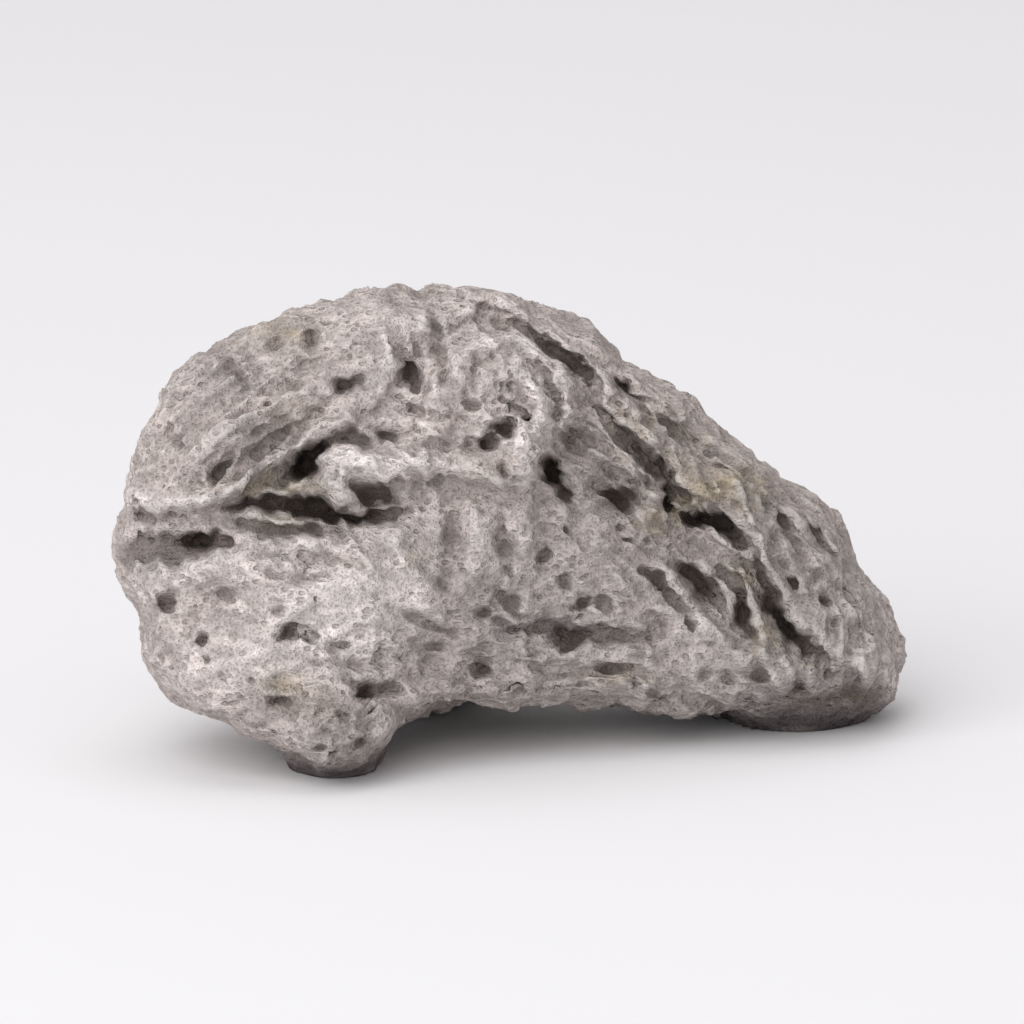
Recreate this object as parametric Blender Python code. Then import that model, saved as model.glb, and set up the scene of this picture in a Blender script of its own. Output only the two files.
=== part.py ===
"""A single pumice stone as one closed solid, standing on three small worn flats.

Run it with:  blender --background --python part.py

The stone is about 60 mm long. X runs across its face, Y runs from the face to the back and Z is up. Lengths are
in millimetres and become metres by MM at the end, where the mesh is made.

The build goes from large to small. An outline is swelled front and back into a body, broad facets are shaved off
its back, the hood, mouth, crevices and large holes of its face are pressed in, gas bubbles are opened all over,
and the feet are ground flat on the floor.
"""

import math

import bmesh
import bpy
import numpy as np

MM = 0.001
NAME = "pumice_stone"

# Driving dimensions, mm
FACE_TILT = math.radians(12)  # the face is laid out as seen from this far above the horizon
TOE_BACK = -13.0  # Y of the front toe, where "up the face" starts at 0
MIDDLE = (0.0, 18.0, 2.0)  # across, up the face, back: the point that the body swells from
FRONT_SWELL = (-4.0, -2.0, -12.0)  # from the middle to the foremost point of the plain body
BACK_SHARE = 1.45  # how far the back swells, as a share of the front
FULLNESS = 0.84  # 1 swells as an ellipsoid, and less is boxier
PLAIN_EDGE = (27.0, 16.5, 6.0)  # half width, half height and slant of the oval that the outline departs from
RIM_ROUNDING = 2.5  # half degrees that the outline's corners are rounded over
BACK_ROUNDING = 14.0  # and the same behind it, where the corners die away
RIM_FADE = (0.03, 0.30)  # the face's features start this far inside the edge and are whole from there on

# Mesh
CUTS = 88  # squares along each side of the quad sphere
TRIANGLES = 9800
GROUND_OFF = 0.06  # what lies lower than this after thinning out is on the floor
COLOUR = (0.37, 0.335, 0.31, 1)

# The stone's edge as its face is looked at: across, up the face, and how far back that edge lies
OUTLINE = [
    (-10.6, 0.4, -12.6),
    (-11.6, 0.0, -13.0),
    (-13.4, 0.0, -13.0),
    (-17.5, 1.6, -11.5),
    (-21.8, 3.9, -9.0),
    (-25.2, 5.4, -7.5),
    (-28.0, 8.2, -6.0),
    (-28.3, 11.5, -5.0),
    (-29.6, 15.0, -4.5),
    (-29.9, 18.0, -4.0),
    (-29.2, 22.0, -3.0),
    (-28.4, 25.0, -2.0),
    (-26.6, 28.0, -1.5),
    (-26.0, 30.0, -1.0),
    (-21.5, 33.4, 1.0),
    (-16.0, 35.2, 2.0),
    (-13.0, 35.9, 2.5),
    (-9.6, 37.3, 3.0),
    (-4.0, 36.7, 4.0),
    (1.5, 36.1, 5.0),
    (6.0, 33.7, 6.0),
    (13.0, 28.8, 7.0),
    (20.0, 23.2, 8.0),
    (25.5, 18.8, 8.0),
    (28.0, 14.6, 8.0),
    (30.0, 11.4, 7.5),
    (30.5, 8.6, 7.0),
    (29.8, 5.8, 5.5),
    (27.8, 3.9, 4.5),
    (21.0, 3.2, 3.5),
    (17.0, 3.4, 3.0),
    (15.2, 5.0, 1.0),
    (6.0, 5.0, -2.0),
    (-1.0, 5.1, -5.0),
    (-5.0, 5.2, -6.5),
    (-7.9, 4.3, -9.0),
]

# Broad swellings of the face: across, up, half width, half height, how far out, or in where it is below 0
SWELLINGS = {
    "jaw": (-18.0, 11.0, 11.0, 8.0, 2.4),
    "hood": (-19.0, 28.0, 9.0, 7.0, 1.2),
    "bulge above the trough": (-23.6, 24.6, 4.2, 3.6, 0.7),
    "brow": (-3.0, 28.0, 7.0, 5.0, 1.6),
    "knuckle of the brow": (-0.6, 31.0, 2.6, 1.7, 1.2),
    "nose of the brow": (1.6, 24.9, 1.2, 2.6, 1.1),
    "foot knob": (25.6, 11.6, 4.8, 6.0, 1.7),
    "belly": (0.0, 15.5, 8.0, 7.0, 1.0),
    "bump in the hollow": (7.0, 23.6, 1.5, 1.2, 0.8),
    "cheek of the jaw": (-12.0, 13.2, 4.2, 2.2, 1.0),
    "brow of the jaw": (-21.5, 15.6, 4.4, 1.8, 0.8),
    "chin": (-21.5, 8.0, 3.6, 3.0, 0.7),
    "toe": (-13.4, 5.0, 3.6, 3.2, 0.3),
    "sill knob": (15.4, 8.8, 2.8, 2.4, 0.9),
    "undercut of the foot": (24.0, 4.8, 5.5, 1.9, -1.8),
}

# Plates of the face, each standing out from what is round it: how far out, softness of its edge, and its border
PLATES = {
    "hood": (
        1.5,
        0.6,
        [
            (-33, 20.4),
            (-26.0, 19.8),
            (-21.5, 20.9),
            (-18.6, 23.0),
            (-16.3, 25.2),
            (-12.0, 26.6),
            (-8.8, 29.4),
            (-8.2, 31.0),
            (-6.6, 33.0),
            (-3.4, 34.2),
            (-1.8, 36.0),
            (-1.8, 41),
            (-33, 41),
        ],
    ),
    "tongue and brow": (
        1.9,
        0.5,
        [
            (-14.3, 22.0),
            (-13.9, 23.8),
            (-12.7, 24.7),
            (-9.5, 24.9),
            (-7.0, 25.8),
            (-6.6, 28.0),
            (-5.6, 31.2),
            (-2.0, 33.2),
            (2.0, 32.2),
            (4.4, 29.8),
            (5.1, 27.4),
            (3.6, 25.4),
            (2.6, 22.6),
            (0.6, 22.0),
            (-3.0, 22.2),
            (-7.2, 22.4),
            (-11.6, 22.2),
            (-12.0, 20.4),
            (-13.2, 20.2),
        ],
    ),
    "jaw": (
        1.5,
        1.4,
        [
            (-33, 15.6),
            (-24.8, 15.8),
            (-21.2, 17.3),
            (-19.0, 18.3),
            (-12.5, 18.3),
            (-8.0, 18.6),
            (-6.0, 15.5),
            (-5.6, 12.0),
            (-7.4, 8.4),
            (-11.0, 6.4),
            (-9.2, 4.0),
            (-8.8, 2.5),
            (-8.8, -4),
            (-33, -4),
        ],
    ),
    "roof": (
        2.0,
        0.5,
        [
            (-1.5, 35.5),
            (2.8, 33.2),
            (5.0, 31.6),
            (6.8, 29.8),
            (6.8, 28.2),
            (9.2, 25.9),
            (11.6, 23.7),
            (13.2, 21.6),
            (14.2, 19.9),
            (16.7, 19.4),
            (18.2, 18.0),
            (19.5, 15.6),
            (20.6, 13.2),
            (21.8, 11.2),
            (23.6, 9.7),
            (25.0, 8.2),
            (33, 5),
            (33, 41),
            (-1.5, 41),
        ],
    ),
    "sill": (
        1.1,
        0.7,
        [
            (10.5, 9.4),
            (13.4, 12.0),
            (16.8, 11.0),
            (17.6, 9.8),
            (20.4, 9.2),
            (22.6, 8.0),
            (25.0, 6.4),
            (30, 0),
            (9, 0),
        ],
    ),
}

# Folds of the face. Each is a path of (across, up, half width, depth). A depth above 0 goes in, one below 0 stands
# out.
FOLDS = {
    "lip of the hood": [
        (-28.5, 20.6, 1.2, -0.4),
        (-25.0, 20.2, 1.1, -0.7),
        (-21.6, 20.7, 1.0, -0.9),
        (-18.7, 22.4, 0.8, -1.1),
        (-16.5, 24.4, 0.7, -1.1),
        (-14.4, 25.8, 0.7, -0.9),
        (-12.0, 26.5, 0.7, -0.6),
        (-9.6, 27.1, 0.7, -0.3),
    ],
    "trough above the lip": [
        (-22.0, 22.2, 0.8, 0.8),
        (-20.4, 23.3, 1.1, 1.4),
        (-18.4, 24.7, 1.2, 1.9),
        (-16.5, 26.0, 1.2, 1.6),
        (-14.4, 27.3, 1.0, 0.9),
        (-12.6, 28.4, 0.8, 0.5),
    ],
    "bank above the trough": [
        (-24.8, 22.8, 1.1, -0.4),
        (-22.4, 24.8, 1.1, -0.8),
        (-19.8, 26.8, 1.0, -0.9),
        (-17.0, 28.2, 0.9, -0.7),
        (-15.0, 29.2, 0.9, -0.3),
    ],
    "mouth": [
        (-21.0, 20.6, 0.6, 0.8),
        (-19.4, 21.6, 0.9, 1.5),
        (-17.8, 22.5, 1.1, 2.2),
        (-16.4, 23.1, 1.0, 3.8),
        (-15.3, 23.6, 0.95, 6.4),
        (-14.7, 24.4, 0.75, 4.6),
        (-13.8, 24.8, 0.5, 2.6),
    ],
    "cleft above the tongue": [
        (-14.2, 24.8, 0.5, 2.0),
        (-13.2, 25.2, 0.5, 1.2),
        (-12.0, 25.5, 0.55, 1.0),
        (-11.2, 25.3, 0.5, 0.8),
        (-11.1, 24.8, 0.3, 0.4),
    ],
    "crevice in the mouth": [
        (-21.6, 19.8, 0.4, 1.2),
        (-19.6, 20.5, 0.6, 3.4),
        (-17.4, 20.7, 0.65, 4.4),
        (-15.2, 20.3, 0.65, 4.8),
        (-13.4, 19.7, 0.7, 5.2),
        (-11.6, 19.4, 0.6, 4.6),
        (-9.4, 19.6, 0.5, 3.0),
        (-7.8, 20.0, 0.5, 1.4),
    ],
    "ledge in the mouth": [
        (-19.0, 19.3, 0.4, -0.5),
        (-17.0, 19.3, 0.5, -1.2),
        (-15.4, 19.1, 0.4, -0.6),
    ],
    "crease under the ledge": [
        (-20.0, 18.9, 0.4, 1.0),
        (-18.2, 18.6, 0.5, 1.6),
        (-15.4, 18.4, 0.5, 1.8),
        (-12.6, 18.5, 0.4, 1.2),
    ],
    "left notch": [
        (-29.5, 16.9, 1.2, 0.7),
        (-27.0, 16.9, 1.3, 1.7),
        (-24.8, 17.0, 1.2, 2.2),
        (-23.0, 17.2, 1.0, 2.4),
    ],
    "roof of the notch": [
        (-27.5, 17.9, 0.5, 0.5),
        (-25.0, 17.8, 0.6, 1.2),
        (-23.4, 17.6, 0.75, 3.0),
        (-22.3, 17.4, 0.85, 4.6),
        (-21.3, 17.6, 0.5, 2.6),
    ],
    "tongue": [
        (-12.7, 20.9, 0.6, -0.8),
        (-13.1, 22.3, 0.8, -1.2),
        (-12.1, 23.5, 1.1, -1.6),
        (-10.4, 23.7, 1.1, -1.7),
        (-8.0, 23.6, 1.0, -1.4),
        (-5.0, 23.3, 0.9, -1.0),
        (-2.4, 23.1, 0.9, -0.9),
    ],
    "pebble in the eye": [
        (-9.8, 21.0, 0.5, -1.7),
        (-8.9, 20.8, 0.45, -1.5),
    ],
    "arc of the brow": [
        (-3.9, 31.4, 0.6, -0.4),
        (-2.2, 33.0, 0.6, -1.0),
        (0.6, 33.2, 0.6, -1.3),
        (3.2, 31.4, 0.6, -1.4),
        (4.8, 29.0, 0.6, -1.4),
        (5.0, 27.0, 0.6, -1.2),
        (3.8, 25.4, 0.5, -0.6),
    ],
    "outer groove of the brow": [
        (-1.0, 34.3, 0.4, 0.4),
        (1.8, 33.2, 0.5, 0.8),
        (3.2, 32.4, 0.55, 1.6),
        (4.8, 31.4, 0.7, 2.4),
        (6.0, 30.5, 0.65, 2.4),
        (6.8, 29.6, 0.4, 0.8),
    ],
    "hollow beside the brow": [
        (4.8, 25.6, 1.0, 0.8),
        (6.0, 24.9, 1.2, 0.9),
        (8.4, 22.4, 1.8, 1.4),
        (8.8, 20.8, 1.6, 1.7),
        (6.4, 20.9, 1.2, 0.8),
    ],
    "edge of the hollow": [
        (5.8, 27.6, 0.6, -0.4),
        (7.4, 26.2, 0.6, -0.9),
        (9.4, 24.3, 0.6, -1.2),
        (10.8, 22.4, 0.6, -1.2),
        (10.8, 20.6, 0.5, -0.5),
    ],
    "long groove": [
        (5.2, 28.4, 0.4, 0.5),
        (7.0, 27.0, 0.5, 0.9),
        (8.6, 25.7, 0.7, 1.9),
        (10.0, 24.5, 0.85, 2.6),
        (11.4, 23.2, 0.8, 2.4),
        (12.8, 22.0, 0.6, 1.6),
        (13.5, 21.3, 0.4, 0.6),
    ],
    "groove along the roof": [
        (7.9, 29.9, 0.45, 0.8),
        (8.6, 29.3, 0.7, 2.0),
        (9.8, 28.1, 0.5, 0.9),
        (11.2, 26.8, 0.5, 1.0),
        (12.6, 25.8, 0.55, 1.2),
        (13.8, 24.9, 0.4, 0.5),
    ],
    "trough along the shoulder": [
        (19.4, 20.8, 0.4, 0.6),
        (20.6, 19.0, 0.6, 1.2),
        (22.0, 17.2, 0.6, 1.3),
        (23.0, 15.8, 0.5, 0.6),
    ],
    "belly of the roof": [
        (13.4, 22.0, 0.8, -0.5),
        (16.0, 21.8, 1.1, -1.5),
        (18.4, 20.4, 1.1, -1.5),
        (19.3, 18.0, 0.8, -0.9),
        (19.8, 15.8, 0.6, -0.4),
    ],
    "slot under the roof": [
        (13.3, 19.6, 0.4, 2.2),
        (14.2, 19.2, 0.42, 4.0),
        (15.4, 19.0, 0.42, 4.4),
        (16.7, 18.8, 0.42, 4.0),
        (17.4, 18.2, 0.42, 2.6),
        (17.9, 17.5, 0.35, 1.0),
    ],
    "hollow under the roof": [
        (11.0, 17.4, 1.8, 0.5),
        (14.0, 16.9, 1.8, 1.2),
        (17.0, 15.6, 1.6, 1.4),
        (18.4, 13.6, 1.4, 1.4),
    ],
    "upper crevice": [
        (12.9, 15.7, 0.5, 1.6),
        (13.8, 15.2, 0.95, 3.6),
        (14.6, 14.5, 1.0, 3.8),
        (15.5, 13.6, 0.7, 2.4),
        (16.3, 12.9, 0.4, 0.8),
    ],
    "shallow crevice": [
        (10.1, 15.6, 0.4, 0.7),
        (11.2, 14.7, 0.55, 1.7),
        (12.2, 13.6, 0.45, 1.2),
    ],
    "short crevice": [
        (17.1, 14.2, 0.4, 0.8),
        (17.5, 13.2, 0.6, 2.6),
        (17.8, 12.2, 0.7, 3.2),
        (18.1, 11.2, 0.45, 1.6),
    ],
    "stave beside the short crevice": [
        (16.6, 16.2, 0.5, -0.5),
        (18.4, 14.8, 0.45, -1.0),
        (18.9, 12.6, 0.5, -1.3),
        (19.3, 10.6, 0.55, -1.3),
        (19.8, 8.8, 0.5, -0.7),
    ],
    "crevice beside the foot": [
        (18.9, 16.7, 0.35, 1.0),
        (19.5, 15.1, 0.4, 2.0),
        (19.7, 14.2, 0.35, 1.6),
        (20.0, 13.1, 0.5, 3.6),
        (20.8, 11.8, 0.65, 4.6),
        (21.7, 10.8, 0.65, 4.6),
        (22.9, 9.8, 0.55, 3.6),
        (24.1, 8.9, 0.4, 1.4),
    ],
    "groove across the front": [
        (-0.8, 11.5, 0.5, 0.8),
        (0.8, 11.2, 0.6, 1.6),
        (2.4, 11.0, 0.6, 1.4),
        (4.0, 10.4, 1.0, 2.0),
        (6.0, 10.3, 1.0, 2.0),
        (8.0, 10.6, 0.6, 1.4),
        (10.4, 10.5, 0.5, 1.0),
    ],
    "crease above the groove": [
        (2.2, 11.8, 0.35, 0.9),
        (3.6, 11.5, 0.4, 1.2),
        (4.8, 11.8, 0.3, 0.5),
    ],
    "left flute": [
        (-4.6, 20.6, 0.6, 0.4),
        (-4.6, 17.8, 0.9, 1.1),
        (-5.0, 14.6, 0.7, 0.6),
    ],
    "middle flute": [
        (-0.6, 20.4, 0.5, 0.4),
        (-0.4, 17.4, 0.7, 1.2),
        (-0.2, 15.2, 0.5, 0.5),
    ],
    "slanting flute": [
        (-0.6, 14.4, 0.4, 0.6),
        (0.0, 13.2, 0.5, 1.2),
        (0.9, 12.0, 0.4, 0.7),
    ],
    "rib between the flutes": [
        (-2.7, 21.0, 0.8, -0.4),
        (-2.6, 18.0, 0.8, -1.0),
        (-2.9, 14.4, 0.7, -0.4),
    ],
    "corner under the jaw": [
        (-12.1, 7.6, 0.4, 0.9),
        (-11.2, 6.6, 0.75, 2.6),
        (-10.2, 6.5, 0.6, 1.4),
        (-8.6, 6.4, 0.5, 0.6),
    ],
    "first slot of the crown": [
        (-8.2, 32.6, 0.5, 0.6),
        (-7.9, 31.4, 0.7, 1.4),
        (-7.6, 30.2, 0.65, 2.8),
        (-7.4, 29.4, 0.45, 1.6),
    ],
    "second slot of the crown": [
        (-5.6, 35.0, 0.4, 0.8),
        (-5.4, 33.9, 0.65, 1.9),
        (-5.1, 32.8, 0.45, 1.0),
    ],
    "third slot of the crown": [
        (-5.1, 32.3, 0.5, 1.0),
        (-4.9, 31.1, 0.7, 1.9),
        (-4.8, 29.8, 0.5, 1.2),
    ],
    "scratch of the hood": [
        (-22.2, 32.2, 0.4, 0.6),
        (-21.0, 30.8, 0.6, 1.5),
        (-19.7, 29.6, 0.4, 0.9),
    ],
}

# Large holes of the face: across, up, half length, half width, turn in degrees, depth
HOLES = [
    (-9.85, 21.15, 2.0, 1.15, -4, 3.0),
    (3.3, 22.9, 0.9, 1.3, 14, 3.6),
    (4.1, 21.3, 0.7, 0.9, 20, 2.2),
    (11.9, 21.2, 0.8, 1.2, 20, 2.6),
    (8.6, 20.7, 1.5, 1.0, -8, 1.8),
    (-12.2, 29.5, 1.5, 0.65, 20, 2.0),
    (-9.3, 25.6, 0.9, 0.5, -8, 1.8),
    (-0.4, 26.3, 1.1, 0.75, 0, 2.8),
    (-1.7, 25.2, 1.2, 0.7, 12, 2.2),
    (5.6, 13.1, 0.9, 0.6, 12, 1.8),
    (-1.9, 12.3, 0.9, 0.6, 15, 1.6),
    (-2.1, 8.3, 0.9, 0.75, 10, 1.8),
    (-25.9, 12.8, 1.0, 0.75, 20, 1.8),
    (-16.8, 10.7, 0.85, 0.6, -45, 2.0),
]

# Broad facets of the back and top: the direction that each faces, and its distance from the middle of the stone
FACETS = [
    ((0.25, 0.93, 0.30), 17.3),
    ((-0.70, 0.66, 0.25), 20.3),
    ((-0.15, 0.55, 0.80), 18.6),
    ((0.55, 0.30, 0.78), 18.8),
    ((-0.25, 0.80, -0.55), 18.4),
]
FACET_BLEND = 0.9

ARCH_RISE = 0.4  # how far the underside is raised, before the feet are drawn down from it

# Feet that the body is drawn down into: across, back, half width, how far down
FEET = [(-13.0, -10.0, 3.6, 3.4), (21.5, 6.5, 5.0, 3.4), (-8.0, 14.0, 7.5, 7.2)]

LUMPS = [(9.0, 0.28), (3.8, 0.16)]  # size and height of the uneven swellings all over

# Gas bubbles: spacing, share of the places that hold one, least and greatest radius
BUBBLES = [(4.8, 0.4, 0.6, 0.95), (2.9, 0.45, 0.38, 0.62)]
BUBBLE_STRETCH = (0.62, -0.20, -0.76)  # the way the foam was drawn out as it cooled
STRETCH = 1.7


def from_face(across, up, back):
    """X, Y, Z of a point given as it is seen on the face: Z is what the tilt leaves of the height."""
    z = (up - (back - TOE_BACK) * math.sin(FACE_TILT)) / math.cos(FACE_TILT)
    return np.stack(np.broadcast_arrays(across, back, z), axis=-1)


def on_face(points):
    """Across and up of points in X, Y, Z: the inverse of from_face."""
    up = points[:, 2] * math.cos(FACE_TILT) + (points[:, 1] - TOE_BACK) * math.sin(FACE_TILT)
    return np.stack([points[:, 0], up], axis=1)


def step(value, low, high):
    """0 below low, 1 above high, and an even S between."""
    t = np.clip((value - low) / (high - low), 0, 1)
    return t * t * (3 - 2 * t)


def quad_sphere(cuts):
    """A cube cut into squares and blown up into a ball, on which the squares keep like sizes."""
    sphere = bmesh.new()
    bmesh.ops.create_cube(sphere, size=2.0)
    bmesh.ops.subdivide_edges(sphere, edges=sphere.edges, cuts=cuts - 1, use_grid_fill=True)
    even = np.tan(np.array([vertex.co for vertex in sphere.verts]) * math.pi / 4)
    return sphere, even / np.linalg.norm(even, axis=1, keepdims=True)


def edge_of_body(turn, rounding):
    """The outline's point for each angle round the middle, its corners rounded over so many half degrees."""
    marks = np.array(OUTLINE)
    angles = np.arctan2(marks[:, 1] - MIDDLE[1], marks[:, 0] - MIDDLE[0])
    order = np.argsort(angles)
    steps = 720
    table = np.linspace(-math.pi, math.pi, steps, endpoint=False)
    reach = np.minimum(np.arange(steps), steps - np.arange(steps))
    round_off = np.exp(-0.5 * (reach / rounding) ** 2)
    round_off = np.fft.fft(round_off / round_off.sum())
    found = []
    for column in range(3):
        line = np.interp(table, angles[order], marks[order, column], period=2 * math.pi)
        line = np.fft.ifft(np.fft.fft(line) * round_off).real
        found.append(np.interp(turn, table, line, period=2 * math.pi))
    return np.stack(found, axis=1)


def body(directions):
    """Swells the outline. Each point goes from the middle towards the edge by the sine of its angle off the
    face's axis, and towards the front or the back by the cosine, both raised to FULLNESS. Well inside the edge
    the outline gives way to a plain oval, so that no crease runs to the middle of the face."""
    turn = np.arctan2(directions[:, 2], directions[:, 0])
    wide, high, slant = PLAIN_EDGE
    oval = np.stack([wide * np.cos(turn), high * np.sin(turn), slant * np.cos(turn)], axis=1)
    sideways = np.sqrt(np.clip(1 - directions[:, 1] ** 2, 0, 1))
    rounded = edge_of_body(turn, BACK_ROUNDING)
    rim = rounded + (edge_of_body(turn, RIM_ROUNDING) - rounded) * step(-directions[:, 1], -0.45, 0.0)[:, None]
    edge = oval + (rim - MIDDLE - oval) * step(sideways, 0.15, 1.0)[:, None]
    out = -np.sign(directions[:, 1]) * np.where(directions[:, 1] > 0, BACK_SHARE, 1)
    across, up, back = FRONT_SWELL
    lean = out * directions[:, 1] ** 2
    swell = np.stack([across * lean, up * lean, back * out * np.abs(directions[:, 1]) ** FULLNESS], axis=1)
    seen = MIDDLE + edge * sideways[:, None] ** FULLNESS + swell
    return from_face(seen[:, 0], seen[:, 1], seen[:, 2])


def shaved(points):
    """Cuts the broad facets: what stands beyond each plane is laid back onto it, with a soft edge."""
    middle = from_face(*MIDDLE)
    for faces, distance in FACETS:
        faces = np.array(faces) / np.linalg.norm(faces)
        beyond = (points - middle) @ faces - distance
        points = points - FACET_BLEND * np.logaddexp(0, beyond / FACET_BLEND)[:, None] * faces
    return points


def along_path(seen, path):
    """For each seen point: how far off the path it is, in half widths, and the path's depth there."""
    nearest, depth = np.full(len(seen), np.inf), np.zeros(len(seen))
    for start, end in zip(np.array(path[:-1]), np.array(path[1:])):
        run = end[:2] - start[:2]
        share = np.clip(((seen - start[:2]) @ run) / (run @ run), 0, 1)
        here = start + share[:, None] * (end - start)
        off = np.linalg.norm(seen - here[:, :2], axis=1) / here[:, 2]
        depth = np.where(off < nearest, here[:, 3], depth)
        nearest = np.minimum(off, nearest)
    return nearest, depth


def within(seen, border):
    """How far inside a closed border each seen point is, and below 0 outside it."""
    nearest, crossings = np.full(len(seen), np.inf), np.zeros(len(seen), int)
    corners = np.array(border, float)
    for start, end in zip(corners, np.roll(corners, -1, axis=0)):
        run = end - start
        share = np.clip(((seen - start) @ run) / (run @ run), 0, 1)
        nearest = np.minimum(nearest, np.linalg.norm(seen - start - share[:, None] * run, axis=1))
        spans = (start[1] > seen[:, 1]) != (end[1] > seen[:, 1])
        meets = start[0] + (seen[:, 1] - start[1]) * run[0] / (run[1] or 1)
        crossings += spans & (seen[:, 0] < meets)
    return np.where(crossings % 2, nearest, -nearest)


def face_relief(seen):
    """How far the face is pressed in at each seen point: swellings and ridges count below 0."""
    relief = np.zeros(len(seen))
    for out, softness, border in PLATES.values():
        relief -= out * step(within(seen, border), -softness, softness)
    for across, up, half_width, half_height, out in SWELLINGS.values():
        off = ((seen[:, 0] - across) / half_width) ** 2 + ((seen[:, 1] - up) / half_height) ** 2
        relief -= out * np.exp(-(off**1.5))
    for path in FOLDS.values():
        off, depth = along_path(seen, path)
        relief += depth * np.where(depth > 0, step(1 - off * 0.85, 0, 0.75), step(1 - off * 0.6, 0, 1))
    for across, up, half_length, half_width, turn, depth in HOLES:
        turn = math.radians(turn)
        x, y = seen[:, 0] - across, seen[:, 1] - up
        long = (x * math.cos(turn) + y * math.sin(turn)) / half_length
        wide = (y * math.cos(turn) - x * math.sin(turn)) / half_width
        relief += depth * step(1.15 - np.sqrt(long**2 + wide**2), 0, 0.8)
    return relief


def carved(points, directions):
    """Presses the face's features straight in, along the line of sight, and leaves the stone's edge as it is."""
    into_face = np.array([0.0, math.cos(FACE_TILT), -math.sin(FACE_TILT)])
    whole = step(-directions[:, 1], *RIM_FADE)
    return points + into_face * (face_relief(on_face(points)) * whole)[:, None]


def waves(points, size, seed):
    """Smooth noise of unit spread: plane waves of about the given size, in directions drawn at random."""
    draw = np.random.default_rng(seed)
    ways = draw.normal(size=(24, 3))
    ways *= (2 * math.pi / size) * draw.uniform(0.6, 1.4, (24, 1)) / np.linalg.norm(ways, axis=1, keepdims=True)
    return np.sin(points @ ways.T + draw.uniform(0, 2 * math.pi, 24)).sum(axis=1) / math.sqrt(12)


def hashed(cells, salt):
    """Four even random numbers for each whole-numbered cell, always the same for the same cell."""
    mixed = cells.astype(np.int64) @ np.array([73856093, 19349663, 83492791]) + salt * 2654435761
    numbers = []
    for _ in range(4):
        mixed = (mixed ^ (mixed >> 13)) * 1274126177 & 0xFFFFFFFF
        mixed = (mixed ^ (mixed >> 16)) * 2246822519 & 0xFFFFFFFF
        numbers.append(mixed / 0xFFFFFFFF)
    return np.stack(numbers, axis=-1)


def stretched(vectors):
    """Vectors in the foam's own space, where the drawn-out bubbles are round again."""
    way = np.array(BUBBLE_STRETCH) / np.linalg.norm(BUBBLE_STRETCH)
    return vectors + np.outer(vectors @ way, way) * (1 / STRETCH - 1)


def opened(points, normals):
    """How deep the nearest gas bubble opens at each point: straight in to the bubble's far wall."""
    spot, inward = stretched(points), stretched(-normals)
    inward /= np.linalg.norm(inward, axis=1, keepdims=True)
    deepest = np.zeros(len(points))
    neighbours = np.stack(np.meshgrid(*[[-1, 0, 1]] * 3), axis=-1).reshape(-1, 3)
    for salt, (spacing, share, least, greatest) in enumerate(BUBBLES):
        home = np.floor(spot / spacing)
        for neighbour in neighbours:
            cell = home + neighbour
            chance = hashed(cell, salt + 1)
            centre = (cell + 0.5 + (chance[:, :3] - 0.5) * 0.8) * spacing
            radius = least + (greatest - least) * (chance[:, 3] * 7 % 1)
            gap = spot - centre
            towards = np.einsum("ij,ij->i", gap, inward)
            inside = radius**2 - np.einsum("ij,ij->i", gap, gap)
            there = (inside > 0) & (chance[:, 3] < share)
            depth = np.where(there, -towards + np.sqrt(np.maximum(towards**2 + inside, 0)), 0)
            deepest = np.maximum(deepest, depth)
    return deepest


def normals_of(points, quads):
    """Each vertex's outward normal: the sum of the cross products of its squares' diagonals."""
    cross = np.cross(points[quads[:, 2]] - points[quads[:, 0]], points[quads[:, 3]] - points[quads[:, 1]])
    total = np.stack(
        [np.bincount(quads.ravel(), np.repeat(cross[:, axis], 4), len(points)) for axis in range(3)], axis=1
    )
    return total / np.linalg.norm(total, axis=1, keepdims=True)


def evened(points, quads, rounds):
    """Slides the vertices along the surface towards the middle of their neighbours, to even out the squares."""
    ends = np.concatenate([quads, np.roll(quads, -1, axis=1)])
    others = np.concatenate([np.roll(quads, -1, axis=1), quads])
    count = np.bincount(ends.ravel(), minlength=len(points))[:, None]
    for _ in range(rounds):
        middle = np.stack(
            [np.bincount(ends.ravel(), points[others.ravel(), axis], len(points)) for axis in range(3)], axis=1
        )
        pull = middle / count - points
        normal = normals_of(points, quads)
        points = points + 0.5 * (pull - normal * np.einsum("ij,ij->i", pull, normal)[:, None])
    return points


def footed(points, normals):
    """Draws the underside down into feet and grinds them flat on the floor."""
    down = np.full(len(points), -ARCH_RISE)
    for across, back, half_width, depth in FEET:
        off = np.hypot(points[:, 0] - across, points[:, 1] - back) / half_width
        down += depth * np.exp(-(off**4))
    points = points - np.outer(down * step(-normals[:, 2], 0.2, 0.7), (0, 0, 1))
    return points * (1, 1, 0) + np.maximum(points * (0, 0, 1), 0)


def stone_points(directions, quads):
    """The stone's vertices, in mm, from large forms to small."""
    points = shaved(body(directions))
    points = evened(points, quads, 4)
    normals = normals_of(points, quads)
    for seed, (size, height) in enumerate(LUMPS):
        points = points + normals * (height * waves(points, size, seed))[:, None]
    points = footed(points, normals)
    points = carved(points, directions)
    points = evened(points, quads, 6)
    above_floor = step(points[:, 2], 0.3, 1.5)
    points = points - normals * (opened(points, normals) * above_floor)[:, None]
    return points * (1, 1, 0) + np.maximum(points * (0, 0, 1), 0)


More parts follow.
